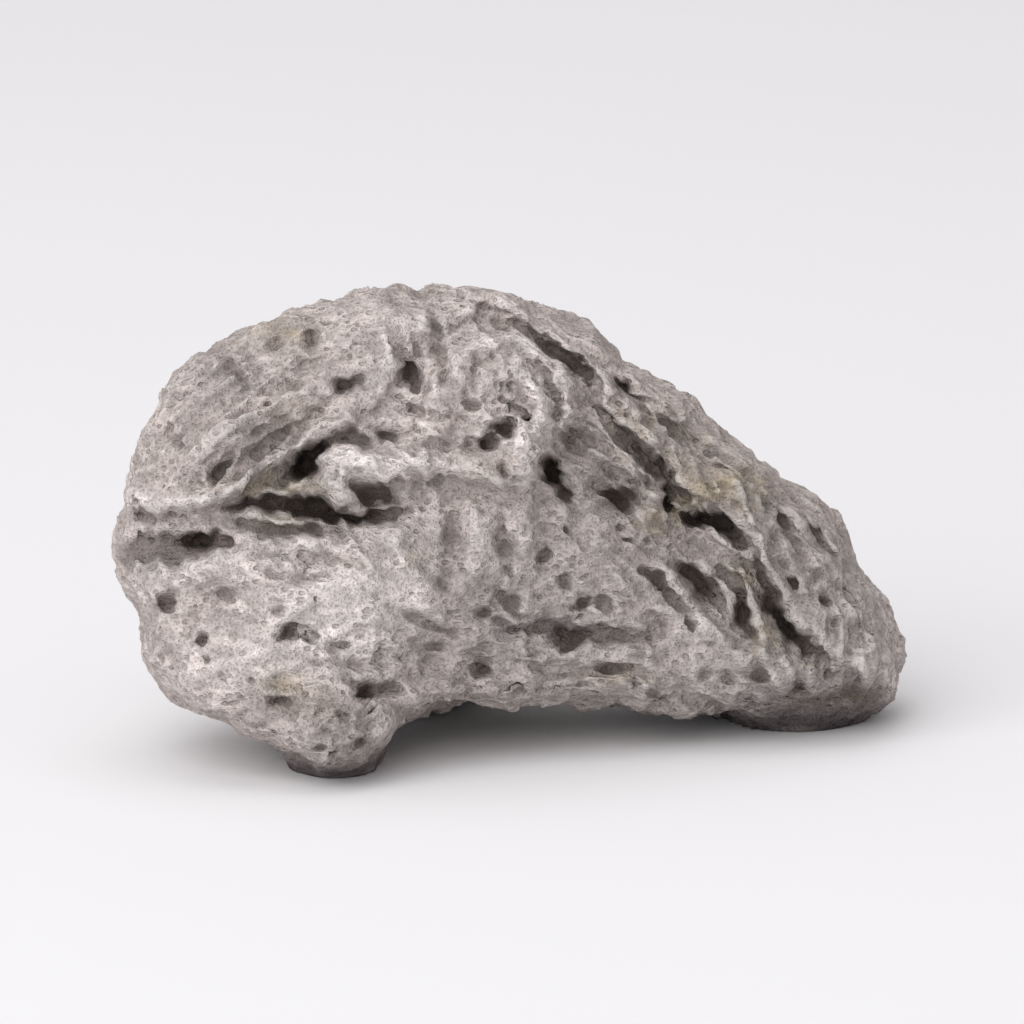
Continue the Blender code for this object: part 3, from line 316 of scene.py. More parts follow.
FIRST_FIBRES, EDGE_FIBRES, BROAD_FOLDS = 60, 59, 58  # seeds of the three kinds
BEHIND = (0.05, 0.50)  # how far round to the back its own folds, bubbles and patches start, and are whole

# Foam. Open bubbles: spacing, share of the places that hold one, least and greatest radius
BUBBLES = [(4.8, 0.4, 0.6, 0.95), (2.9, 0.45, 0.38, 0.62), (1.6, 0.6, 0.24, 0.40)]
BACK_BUBBLES = (5.0, 0.55, 0.75, 1.25)  # the large ones of the back
BUBBLE_STRAY = 0.8  # how much of its place a bubble's centre may lie in
FOAM_WAY = (0.62, -0.20, -0.76)  # the way the foam was drawn out as it cooled
FOAM_STRETCH = 1.7
CELL_SPACING = 1.25  # of the close-packed cells between the open bubbles
CELL_STRETCH = 1.4
CELL_STRAY = 0.95
CELL_WALL = 0.7  # how far from a wall a cell is whole, as a share of the spacing
CELL_SHAKE = (1.1, 0.12, (41, 42, 43))  # size, shift and seeds of the raggedness of the cells' walls
CELL_PATCHES = (6.0, 1.2, 31)  # size, spread and seed of the patches with deep and with shallow cells
SHALLOW = 0.35  # the depth of the shallow ones, as a share
CELLS_END = 0.8  # how deep a bubble is where it has no cells
FLOOR_FADE = (0.1, 1.2)  # height above the floor where the foam starts, and where it is whole
AROUND_ROUNDS = 60  # of evening out, to compare how far a point is pressed in with what is round it

# Where each trait starts and is whole: how far in or out of what is round it, how bent, how deep, in mm
SUNK, RAISED, BENT, DEEP, BUBBLE_DEEP = (0.1, 1.3), (0.1, 0.9), (0.012, 0.09), (1.2, 4.5), (0.15, 1.4)
DEEP_SHADE, BUBBLE_SHADE = 0.7, 0.55  # how strongly shade is painted into the deep crevices and into the bubbles

# Patches of the back: size, seed and strength of its stains, bare spots and pale spots
BACK_PATCHES = {"stain": (12.0, 71, 0.6), "bare_and_shaded": (9.0, 72, 0.8), "pale": (8.0, 73, 0.8)}
PATCH_EDGE = (0.3, 1.6)  # the height of the waves where a patch starts, and where it is whole

# Yellow-brown stains: across, up, half width, half height, strength
STAINS = [
    (-17, 33.6, 2.2, 1.1, 0.8), (-2.3, 23.3, 2.2, 1.1, 0.5), (-17, 6.6, 2, 1.1, 0.9),
    (11.6, 19.6, 1.8, 1, 1.1), (16.4, 21.4, 3.4, 1.6, 1.1), (17.8, 15, 1.2, 1.4, 1),
    (19.4, 10.4, 0.9, 1.8, 1.2), (22.6, 8.4, 1.6, 0.7, 0.4), (-17.6, 21.8, 3, 1, 1.4),
    (-17, 19.2, 2.4, 0.6, 1.2), (-9.4, 20.9, 1.2, 0.9, 0.9), (11, 26.5, 3.5, 1.2, 0.4),
    (8.4, 7.4, 3, 0.9, 0.5), (-14, 5.4, 1.6, 1.2, 0.4), (-16.4, 27.6, 1.8, 1, 0.7),
    (14.6, 20.8, 1.6, 0.6, 1), (-7, 16.6, 1.2, 2, 0.4), (14, 24, 9, 5, 0.3),
]

# Painted shade: dark patches in the crevices, along the trough of the hood, under the arch and under the
# foot, in the same numbers
SHADE_PATCHES = [
    (-22.6, 17.5, 1.1, 0.7, 0.8), (-15.4, 23.6, 0.9, 0.9, 0.6), (-11.4, 21.3, 0.6, 0.7, 0.6),
    (-12.9, 19.4, 1.6, 0.5, 0.6), (-16, 18.5, 3, 0.4, 0.4), (-11.6, 29.1, 1.2, 0.6, 0.7),
    (-4.9, 30.8, 0.6, 1.3, 0.4), (-0.4, 26.3, 1.1, 0.5, 0.5), (4.9, 31.3, 1.5, 0.7, 0.5),
    (3.3, 22.4, 0.8, 1.5, 0.5), (8.6, 20.9, 1.6, 1.1, 0.5), (11.9, 21.2, 0.6, 1, 0.6),
    (15.2, 19, 2, 0.4, 0.6), (14.6, 14.3, 1.1, 0.7, 0.6), (11.2, 14.8, 1, 0.9, 0.3),
    (17.9, 12.1, 0.6, 1, 0.7), (19, 12.6, 0.8, 0.4, 0.3), (20.3, 11.6, 0.7, 0.8, 0.6),
    (21.4, 10.4, 0.8, 0.4, 0.4), (21.6, 14.1, 1, 1.6, 0.60), (22, 6.6, 0.6, 0.5, 0.5),
    (24.6, 5.6, 3.4, 0.8, 1.2), (-11.4, 1.6, 1.3, 1.2, 0.5), (-16.6, 5, 2.4, 0.6, 0.4),
    (-11.1, 6.5, 0.7, 0.7, 0.6), (4.9, 10.4, 1.9, 0.8, 0.4), (-25.9, 12.8, 0.9, 0.7, 0.4),
    (-16.9, 10.7, 0.6, 0.6, 0.5), (5, 4.8, 11, 0.6, 0.7), (-13.6, 25.9, 1.4, 0.5, 0.45),
    (-13.9, 23.3, 0.7, 1.1, 0.35), (-7.9, 20.5, 0.9, 0.5, 0.5), (14.3, 21.2, 1.3, 0.8, 0.4),
    (18.4, 10.9, 0.4, 0.7, 0.6), (28.1, 7.8, 0.9, 0.8, 0.5), (-27, 14.8, 1.8, 0.5, 0.45),
    (6, 9.2, 0.8, 0.6, 0.35), (4.9, 22.6, 0.9, 1.6, 0.35), (-0.1, 23.2, 0.5, 0.9, 0.45),
    (-3.4, 16.2, 0.7, 1.8, 0.4), (-11.2, 1.2, 1.6, 1.4, 0.4), (-21, 24.2, 1.4, 1.2, 0.30),
    (-19, 25.7, 1.6, 1.2, 0.32), (-16.6, 27, 1.6, 1, 0.25), (-20.8, 31.2, 0.7, 1.3, 0.30),
    (-20, 29.9, 0.8, 0.6, 0.25), (-14.8, 32.9, 0.5, 0.8, 0.45), (-15.9, 29.5, 0.8, 0.5, 0.35),
    (8.7, 29.2, 1, 0.6, 0.35), (9.6, 25.2, 1, 0.8, 0.35),
]

FLOOR_SHADE_HEIGHT, FLOOR_SHADE_FADE = 3.0, 0.8  # how far up the feet shade is painted near the floor, and the share it fades over

# Cool grey patches, where the crust is broken off, and painted shade on the right side and the foot, in the
# same numbers
GREY_AND_SHADE_PATCHES = [
    (-26.6, 16.8, 3.2, 1.2, 1.2), (7.4, 23.2, 3, 2.4, 0.9), (4.5, 14, 8.5, 6, 0.5), (7, 10.6, 4, 1.4, 0.6),
    (24, 5, 5, 2.2, 1.4), (25.5, 11, 4, 5, 0.5), (22, 16, 4, 3.6, 0.8), (17, 13, 5, 4.4, 0.5),
    (-22.5, 30.5, 4.5, 2.6, 0.5), (-19, 25.8, 3.4, 1.2, 0.5), (-12.6, 3.4, 3.6, 3, 0.9), (0, 10, 4, 5, 0.7),
    (4, 20.4, 3.4, 2.4, 0.5), (19, 8.5, 5, 3, 0.6), (10, 5.6, 6, 1.5, 0.5), (15, 20.4, 5, 3, 0.6),
    (-16, 19, 6, 1.8, 0.4), (-15.6, 23.6, 3, 1.6, 0.4), (-19, 21, 5, 2.6, 0.35), (-12, 30, 2.5, 2.5, 0.3),
]

# Pale patches, where the crust is worn clean and where light is painted onto parts turned to the light, in
# the same numbers
PALE_AND_LIT_PATCHES = [
    (-11, 13.2, 4.4, 2.4, 1.4), (-22, 8.4, 5, 3.2, 0.6), (-9.8, 23.6, 4.6, 1.3, 0.8),
    (-10.5, 9.3, 1.6, 0.7, 0.8), (-10, 34.6, 3.4, 2, 0.2), (1.4, 25.4, 1, 2, 0.4),
    (-2.6, 23.2, 1.8, 0.8, 0.9), (-7, 17.4, 1.6, 2.6, 1.1), (1.6, 32.4, 3.4, 0.9, 0.5),
    (9.8, 23.6, 1.6, 0.8, 0.4), (-25.6, 21, 3, 1, 0.3), (6.8, 9.2, 2, 0.8, 0.6),
    (-5.5, 33.6, 2.6, 1.6, 0.6), (-9.2, 28.6, 1.8, 2.4, 0.8), (2.2, 29.4, 2, 2.4, 0.5),
    (-12.6, 12.4, 4.4, 3.4, 0.8), (-17, 7.6, 3, 2.2, 0.4), (-4.6, 22.2, 1.4, 0.7, 0.8),
    (0, 28.5, 1.6, 1.4, 0.3), (3.4, 29, 1, 1.8, 0.7), (18.4, 14.9, 2, 0.8, 0.7), (22.8, 8.5, 1.8, 0.7, 1),
    (19.4, 10.2, 0.6, 1.3, 0.6), (16.6, 13.2, 0.5, 1.2, 0.6), (-1.3, 18.2, 0.7, 1.2, 0.5),
    (2.1, 17.6, 0.7, 1.6, 0.6),
]


# ---------------------------------------------------------------- randomness

WAVES = 24  # plane waves in smooth noise
WAVE_SPREAD = (0.6, 1.4)  # how finely and how coarsely they are drawn, as shares of the given size
CELL_FACTORS, SALT_FACTOR = (73856093, 19349663, 83492791), 2654435761
MIXING = ((13, 1274126177), (16, 2246822519))  # shift and factor of each step
ALL_BITS = 0xFFFFFFFF
BACK_SALT, CELL_SALT = 5, 9  # those of the back's bubbles and of the cells. The other bubbles count up from 1
NEIGHBOURS = np.stack(np.meshgrid(*[[-1, 0, 1]] * 3), axis=-1).reshape(-1, 3)

# ---------------------------------------------------------------- shapes


def from_face(across, up, back):
    """X, Y, Z of a point given as it is seen on the face: Z is what the tilt leaves of the height."""
    z = (up - (back - TOE_BACK) * math.sin(FACE_TILT)) / math.cos(FACE_TILT)
    return np.stack(np.broadcast_arrays(across, back, z), axis=-1)


def on_face(points):
    """Across and up of points in X, Y, Z: the inverse of from_face."""
    up = points[:, 2] * math.cos(FACE_TILT) + (points[:, 1] - TOE_BACK) * math.sin(FACE_TILT)
    return np.stack([points[:, 0], up], axis=1)


def step(value, low, high):
    """0 below low, 1 above high, and an even S between: 3 t^2 - 2 t^3."""
    t = np.clip((value - low) / (high - low), 0, 1)
    return t * t * (3 - 2 * t)


def unit(vectors):
    return vectors / np.linalg.norm(vectors, axis=1, keepdims=True)


def oval(seen, across, up, half_width, half_height):
    """The square of how far each seen point is from an oval's middle, where its edge is at 1."""
    return ((seen[:, 0] - across) / half_width) ** 2 + ((seen[:, 1] - up) / half_height) ** 2


def ball_grid(squares):
    """A ball as six square grids. A face's grid point (u, v), each from -1 to 1, lies towards
    (1, tan(45 degrees u), tan(45 degrees v)) on that face's axes. Points that faces share are one vertex. The
    whole ball is seen from a point behind its centre, which crowds the points towards the stone's face."""
    u, v = np.meshgrid(np.arange(squares + 1), np.arange(squares + 1), indexing="ij")
    lattices = []
    for axis in range(3):
        near = np.roll(np.stack([np.zeros_like(u), u, v], axis=-1), axis, axis=-1)
        far = np.roll(np.stack([np.full_like(u, squares), u, v], axis=-1), axis, axis=-1)
        lattices += [near[::-1], far]
    lattices = np.array(lattices)
    keys = lattices @ np.array([(squares + 1) ** 2, squares + 1, 1])
    _, first, index = np.unique(keys, return_index=True, return_inverse=True)
    index = index.reshape(keys.shape)
    corners = [index[:, :-1, :-1], index[:, 1:, :-1], index[:, 1:, 1:], index[:, :-1, 1:]]
    quads = np.stack(corners, axis=-1).reshape(-1, 4)
    even = np.tan((lattices.reshape(-1, 3)[first] * 2 / squares - 1) * math.pi / 4)
    return unit(unit(even) - (0, CROWDING, 0)), quads


def edge_of_body(turn, rounding):
    """The outline's point for each angle round the middle, its corners rounded by a bell curve so many half
    degrees wide."""
    marks = np.array(OUTLINE)
    angles = np.arctan2(marks[:, 1] - MIDDLE[1], marks[:, 0] - MIDDLE[0])
    order = np.argsort(angles)
    table = np.linspace(-math.pi, math.pi, HALF_DEGREES, endpoint=False)
    reach = np.minimum(np.arange(HALF_DEGREES), HALF_DEGREES - np.arange(HALF_DEGREES))
    round_off = np.exp(-0.5 * (reach / rounding) ** 2)
    round_off = np.fft.fft(round_off / round_off.sum())
    found = []
    for column in range(3):
        line = np.interp(table, angles[order], marks[order, column], period=2 * math.pi)
        line = np.fft.ifft(np.fft.fft(line) * round_off).real
        found.append(np.interp(turn, table, line, period=2 * math.pi))
    return np.stack(found, axis=1)


def body(directions):
    """Swells the outline. Each point goes from the middle towards the edge by the sine of its angle off the
    face's axis, and towards the front or the back by the cosine, both raised to FULLNESS. Inside the edge the
    outline gives way to a plain oval, so that no crease runs to the middle of the face."""
    turn = np.arctan2(directions[:, 2], directions[:, 0])
    wide, high, slant = PLAIN_EDGE
    plain_edge = np.stack([wide * np.cos(turn), high * np.sin(turn), slant * np.cos(turn)], axis=1)
    sideways = np.sqrt(np.clip(1 - directions[:, 1] ** 2, 0, 1))
    rounded = edge_of_body(turn, BACK_ROUNDING)
    sharper = edge_of_body(turn, RIM_ROUNDING) - rounded
    rim = rounded + sharper * step(-directions[:, 1], *SHARP_EDGE)[:, None]
    edge = plain_edge + (rim - MIDDLE - plain_edge) * step(sideways, *PLAIN_FADE)[:, None]
    out = -np.sign(directions[:, 1]) * np.where(directions[:, 1] > 0, BACK_SHARE, 1)
    across, up, back = FRONT_SWELL
    lean = out * directions[:, 1] ** 2
    swell = np.stack([across * lean, up * lean, back * out * np.abs(directions[:, 1]) ** FULLNESS], axis=1)
    seen = MIDDLE + edge * sideways[:, None] ** FULLNESS + swell
    return from_face(seen[:, 0], seen[:, 1], seen[:, 2])


def shaved(points):
    """Cuts the broad facets: what stands d beyond each plane goes back by b ln(1 + exp(d / b)), which is all
    of it well beyond the plane and nothing well inside it."""
    middle = from_face(*MIDDLE)
    for faces, distance in FACETS:
        faces = np.array(faces) / np.linalg.norm(faces)
        beyond = (points - middle) @ faces - distance
        points = points - FACET_BLEND * np.logaddexp(0, beyond / FACET_BLEND)[:, None] * faces
    return points


def share_along(seen, start, run):
    """How far along a side the spot nearest to each seen point lies, from 0 to 1."""
    return np.clip(((seen - start) @ run) / (run @ run), 0, 1)


def within(seen, border):
    """How far inside a closed border each seen point is, and below 0 outside it: the distance to the nearest
    side, with its sign from how many sides a line to the right crosses."""
    nearest, crossings = np.full(len(seen), np.inf), np.zeros(len(seen), int)
    corners = np.array(border, float)
    for start, end in zip(corners, np.roll(corners, -1, axis=0)):
        run = end - start
        off = seen - start - share_along(seen, start, run)[:, None] * run
        nearest = np.minimum(nearest, np.linalg.norm(off, axis=1))
        spans = (start[1] > seen[:, 1]) != (end[1] > seen[:, 1])
        meets = start[0] + (seen[:, 1] - start[1]) * run[0] / (run[1] or 1)
        crossings += spans & (seen[:, 0] < meets)
    return np.where(crossings % 2, nearest, -nearest)


def along_path(seen, path):
    """For each seen point: how far off the path it is, in half widths, and the path's depth there."""
    nearest, depth = np.full(len(seen), np.inf), np.zeros(len(seen))
    for start, end in zip(np.array(path[:-1]), np.array(path[1:])):
        here = start + share_along(seen, start[:2], end[:2] - start[:2])[:, None] * (end - start)
        off = np.linalg.norm(seen - here[:, :2], axis=1) / here[:, 2]
        depth = np.where(off < nearest, here[:, 3], depth)
        nearest = np.minimum(off, nearest)
    return nearest, depth


def face_relief(seen):
    """How far the face is pressed in at each seen point, as plates, swellings that fade as exp(-r^3), folds
    and holes add up. What stands out counts below 0."""
    relief = np.zeros(len(seen))
    for out, softness, border in PLATES.values():
        relief -= out * step(within(seen, border), -softness, softness)
    for *place, out in SWELLINGS.values():
        relief -= out * np.exp(-(oval(seen, *place) ** 1.5))
    for path in FOLDS.values():
        off, depth = along_path(seen, path)
        groove, ridge = step(1 - off * GROOVE_TAPER, 0, GROOVE_WALL), step(1 - off * RIDGE_TAPER, 0, 1)
        relief += depth * np.where(depth > 0, groove, ridge)
    for across, up, half_length, half_width, turn, depth in HOLES:
        turn = math.radians(turn)
        x, y = seen[:, 0] - across, seen[:, 1] - up
        long = (x * math.cos(turn) + y * math.sin(turn)) / half_length
        wide = (y * math.cos(turn) - x * math.sin(turn)) / half_width
        relief += depth * step(HOLE_REACH - np.sqrt(long**2 + wide**2), 0, HOLE_WALL)
    return relief


def ribbed(points, seen, whole):
    """How far the fibres stand up. Each region's fibres lie along the region's own direction and fade out as
    exp(-r^4), and where regions overlap they are evened out. Elsewhere they lie as the foam was drawn out."""
    height = np.zeros(len(points))
    cover = np.zeros(len(points))
    for seed, (*place, lie, spacing, tall) in enumerate(FIBRES.values()):
        here = np.exp(-(oval(seen, *place) ** 2)) * whole
        turn = math.radians(lie)
        way = (math.cos(turn), math.sin(turn) * math.sin(FACE_TILT), math.sin(turn) * math.cos(FACE_TILT))
        height += here * tall * fibrous(points, spacing, FIRST_FIBRES + seed, way)
        cover += here
    spacing, tall = BACK_FIBRES
    height += np.clip(1 - cover, 0, 1) * tall * fibrous(points, spacing, EDGE_FIBRES, FOAM_WAY)
    return height / np.maximum(1, cover)


def fibrous(points, spacing, seed, way):
    """Crests along the way with finer ones over them."""
    return sum(lower * crests(points, spacing * closer, seed, way) for closer, lower in FIBRE_OCTAVES)


def crests(points, spacing, seed, way):
    """Thin crests along the way, 1 high, with round grooves between: the places where waves that are long
    that way cross 0, made thin by exp(-(n / width)^2)."""
    return np.exp(-((waves(points, spacing, seed, way, FIBRE_STRETCH) / CREST_WIDTH) ** 2)) - CREST_LEVEL


def patches(seen, spots):
    """How strongly each seen point is covered by a list of oval patches: each fades out as exp(-r^2)."""
    cover = np.zeros(len(seen))
    for *place, strength in spots:
        cover += strength * np.exp(-oval(seen, *place))
    return cover


def waves(points, size, seed, way=(0, 0, 1), stretch=1.0):
    """Smooth noise of unit spread: the sum of plane waves of about the given size, in directions drawn at
    random, over the root of half their number. With a stretch, they are longer along the given way."""
    draw = np.random.default_rng(seed)
    ways = draw.normal(size=(WAVES, 3))
    per_mm = (2 * math.pi / size) * draw.uniform(*WAVE_SPREAD, (WAVES, 1))
    ways *= per_mm / np.linalg.norm(ways, axis=1, keepdims=True)
    spot = stretched(points, way, stretch)
    return np.sin(spot @ ways.T + draw.uniform(0, 2 * math.pi, WAVES)).sum(axis=1) / math.sqrt(WAVES / 2)


def hashed(cells, salt):
    """Four even random numbers for each whole-numbered cell, always the same for the same cell: the cell and
    the salt are added up with large odd factors, then shifted, multiplied and cut to 32 bits."""
    mixed = cells.astype(np.int64) @ np.array(CELL_FACTORS) + salt * SALT_FACTOR
    numbers = []
    for _ in range(4):
        for shift, factor in MIXING:
            mixed = (mixed ^ (mixed >> shift)) * factor & ALL_BITS
        numbers.append(mixed / ALL_BITS)
    return np.stack(numbers, axis=-1)


def stretched(vectors, way, stretch):
    """Vectors in the foam's own space, where what is drawn out along the way is round again."""
    way = np.array(way) / np.linalg.norm(way)
    return vectors + np.outer(vectors @ way, way) * (1 / stretch - 1)


def from_near_cells(points, stretch, spacing, salt, stray):
    """For each of the 27 cells round a point, in the foam's own space: how the point lies from the cell's
    centre, which strays from the middle by chance, and the last random number of the cell."""
    spot = stretched(points, FOAM_WAY, stretch)
    home = np.floor(spot / spacing)
    for neighbour in NEIGHBOURS:
        cell = home + neighbour
        chance = hashed(cell, salt)
        yield spot - (cell + 0.5 + (chance[:, :3] - 0.5) * stray) * spacing, chance[:, 3]


def opened(points, normals, bubbles, salt):
    """How deep the deepest open bubble is at each point: straight in to the bubble's far wall. A cell's last
    number says whether it holds a bubble, and that number's seventh multiple how large the bubble is."""
    spacing, share, least, greatest = bubbles
    inward = unit(stretched(-normals, FOAM_WAY, FOAM_STRETCH))
    deepest = np.zeros(len(points))
    for gap, chance in from_near_cells(points, FOAM_STRETCH, spacing, salt, BUBBLE_STRAY):
        radius = least + (greatest - least) * (chance * 7 % 1)
        towards = np.einsum("ij,ij->i", gap, inward)
        inside = radius**2 - np.einsum("ij,ij->i", gap, gap)
        there = (inside > 0) & (chance < share)
        depth = np.where(there, -towards + np.sqrt(np.maximum(towards**2 + inside, 0)), 0)
        deepest = np.maximum(deepest, depth)
    return deepest


def cell_floor(points):
    """Close-packed cells: 0 on the thin walls between them and 1 at their middles, from the distances to the
    two nearest of a grid of shaken points."""
    first, second = np.full(len(points), np.inf), np.full(len(points), np.inf)
    for gap, _ in from_near_cells(points, CELL_STRETCH, CELL_SPACING, CELL_SALT, CELL_STRAY):
        off = np.linalg.norm(gap, axis=1)
        second = np.minimum(second, np.maximum(off, first))
        first = np.minimum(off, first)
    return step((second - first) / CELL_SPACING, 0, CELL_WALL)


def normals_of(points, quads):
    """Each vertex's outward normal: the sum of the cross products of its squares' diagonals."""
    cross = np.cross(points[quads[:, 2]] - points[quads[:, 0]], points[quads[:, 3]] - points[quads[:, 1]])
    total = [np.bincount(quads.ravel(), np.repeat(column, 4), len(points)) for column in cross.T]
    return unit(np.stack(total, axis=1))


def averaged(values, quads, count):
    """The mean over each vertex's neighbours along the squares' sides, of one or more values a vertex."""
    ends = np.concatenate([quads, np.roll(quads, -1, axis=1)]).ravel()
    others = np.concatenate([np.roll(quads, -1, axis=1), quads]).ravel()
    share = np.bincount(ends, minlength=count)
    if values.ndim == 1:
        return np.bincount(ends, values[others], count) / share
    return np.stack([np.bincount(ends, column[others], count) / share for column in values.T], axis=1)


def evened(points, quads, rounds):
    """Evens out the squares: each round slides every vertex along the surface, half the way to the middle of
    its neighbours."""
    for _ in range(rounds):
        pull = averaged(points, quads, len(points)) - points
        normal = normals_of(points, quads)
        points = points + 0.5 * (pull - normal * np.einsum("ij,ij->i", pull, normal)[:, None])
    return points


def curvature(points, quads):
    """How far each vertex lies below the middle of its neighbours, in mm, evened out once. It is above 0 in
    hollows."""
    below = averaged(points, quads, len(points)) - points
    bent = np.einsum("ij,ij->i", below, normals_of(points, quads))
    return (bent + averaged(bent, quads, len(points))) / 2


def footed(points, normals):
    """Raises the underside, draws it down into feet that fade out as exp(-r^4), and grinds them flat."""
    down = np.full(len(points), -ARCH_RISE)
    for across, back, half_width, depth in FEET:
        off = np.hypot(points[:, 0] - across, points[:, 1] - back) / half_width
        down += depth * np.exp(-(off**4))
    points = points - np.outer(down * step(-normals[:, 2], *UNDERSIDE), (0, 0, 1))
    return ground_flat(points)


def ground_flat(points):
    """What lies below the floor is moved up to it."""
    return points * (1, 1, 0) + np.maximum(points * (0, 0, 1), 0)


def crumpled(points):
    """The points as seen on the face, shifted a little by smooth noise, so that no border runs smoothly."""
    seen = on_face(points)
    for size, shift, seed in CRUMPLE:
        seen = seen + shift * np.stack([waves(points, size, seed), waves(points, size, seed + 1)], axis=1)
    return seen


def roughened(points, normals, fibres, behind, shape):
    """Opens the foam at the surface: each point goes in by the deepest bubble and the cells there, and out by
    the fibres. Returns the points and how deep each was pressed in, in mm."""
    size, spread, seed = CELL_PATCHES
    patchy = SHALLOW + (1 - SHALLOW) * step(waves(points, size, seed), -spread, spread)
    depth = opened(points, normals, BACK_BUBBLES, BACK_SALT) * behind
    for salt, bubbles in enumerate(BUBBLES):
        depth = np.maximum(depth, opened(points, normals, bubbles, salt + 1))
    size, shift, seeds = CELL_SHAKE
    shaken = points + shift * np.stack([waves(points, size, seed) for seed in seeds], axis=1)
    patchy = patchy * cell_floor(shaken) * step(CELLS_END - depth, 0, CELLS_END)
    depth = depth + shape.cell_depth / MM * patchy - shape.fibres * fibres
    depth = depth * step(points[:, 2], *FLOOR_FADE)
    return points - normals * depth[:, None], depth


def stone_surface(shape):
    """The stone in mm: its points, its squares, and for each point what the finish needs to know. The face's
    relief is pressed in along the line that the face is seen along, and the foam along the normals."""
    directions, quads = ball_grid(shape.squares)
    points = evened(shaved(body(directions)), quads, rounds=8)
    normals = normals_of(points, quads)
    for seed, (size, height) in enumerate(LUMPS):
        points = points + normals * (height * waves(points, size, seed))[:, None]
    points = footed(points, normals)
    seen = crumpled(points)
    whole = step(-directions[:, 1], *RIM_FADE)
    pressed = face_relief(seen) * whole
    for _ in range(2):
        pressed = (pressed + averaged(pressed, quads, len(points))) / 2
    behind = step(directions[:, 1], *BEHIND)
    spacing, tall = BACK_FOLDS
    fibres = ribbed(points, seen, whole) + behind * tall * crests(points, spacing, BROAD_FOLDS, FOAM_WAY)
    points = points + np.outer(pressed, (0, math.cos(FACE_TILT), -math.sin(FACE_TILT)))
    points = evened(points, quads, rounds=4)
    normals = normals_of(points, quads)
    smooth_normals = unit(averaged(averaged(normals, quads, len(points)), quads, len(points)))
    points, depth = roughened(points, smooth_normals, fibres, behind, shape)
    points = ground_flat(evened(points, quads, rounds=1))
    bent = curvature(points, quads)
    around = pressed
    for _ in range(AROUND_ROUNDS):
        around = averaged(around, quads, len(points))
    # Painted shade: deep crevices, the shade patches and the bubbles are darkened
    painted_shade = DEEP_SHADE * step(pressed, *DEEP) + patches(seen, SHADE_PATCHES)
    traits = {
        # Painted shade: darker where the face is pressed in further than what is round it
        "sunk_shade": step(pressed - around, *SUNK),
        # Partly painted light: lighter where the face stands out from what is round it, partly worn crust
        "raised": step(around - pressed, *RAISED),
        "worn": step(-bent, *BENT),
        "crease_dust_and_shade": step(bent, *BENT),
        "hollow": whole * painted_shade + BUBBLE_SHADE * step(depth, *BUBBLE_DEEP),
        # Painted shade: darker towards the floor
        "floor_shade": step(FLOOR_SHADE_HEIGHT - points[:, 2], 0, FLOOR_SHADE_FADE * FLOOR_SHADE_HEIGHT),
        "stain": patches(seen, STAINS) * whole,
        # Partly painted shade: the grey patches
        "bare_and_shaded": patches(seen, GREY_AND_SHADE_PATCHES) * whole,
        # Partly painted light: the pale patches
        "pale": patches(seen, PALE_AND_LIT_PATCHES) * whole,
    }
    for trait, (size, seed, strength) in BACK_PATCHES.items():
        traits[trait] += behind * strength * step(waves(points, size, seed), *PATCH_EDGE)
    return points, quads, traits


def into_frame(points):
    """Sets the stone into the frame's box, in metres, so that it fills that box exactly."""
    low, high = np.array(CAD_BOX[0]), np.array(CAD_BOX[1])
    least, greatest = points.min(axis=0), points.max(axis=0)
    return low + (points - least) * (high - low) / (greatest - least)


def mesh_of(name, points, quads, traits):
    mesh = bpy.data.meshes.new(name)
    mesh.from_pydata(points, [], quads)
    for trait, values in traits.items():
        layer = mesh.attributes.new(trait, "FLOAT", "POINT")
        layer.data.foreach_set("value", np.clip(values, 0, 1).astype(np.float32))
    mesh.shade_smooth()
    return mesh


# ---------------------------------------------------------------- the finish

# Sizes of its patterns: broad patches, blotches, fine blotches, grain, pores and fine pores
BROAD, BLOTCH, FINE, GRAIN, PORE, FINE_PORE = 9 * MM, 1.6 * MM, 0.7 * MM, 0.22 * MM, 0.55 * MM, 0.24 * MM
DRAWN_OUT = {"Rotation": (0.0, 0.9, -0.3), "Scale": (0.6, 1.0, 1.0)}  # how blotches and pores lie
BROAD_WHITE, RAISED_WHITE, PALE_WHITE = 0.25, 0.5, 0.7  # how much each brings out the crust's pale colour; on raised parts and pale patches this is partly painted light
SUNK_DARK, HOLLOW_DARK, STAINED_DARK = 0.40, 0.78, 0.45  # how dark the painted shade of sunk parts and of hollows is, and the share of it left in a stain
PORE_DARK, FINE_PORE_SHARE = 0.45, 0.4
EDGE_STRENGTH = 0.45  # of the colours of worn edges, and of dust and painted shade in creases
PORE_RELIEF, FINE_PORE_RELIEF, GRAIN_RELIEF, BLOTCH_RELIEF, FINE_RELIEF = -0.20, -0.07, 0.10, 0.35, 0.25


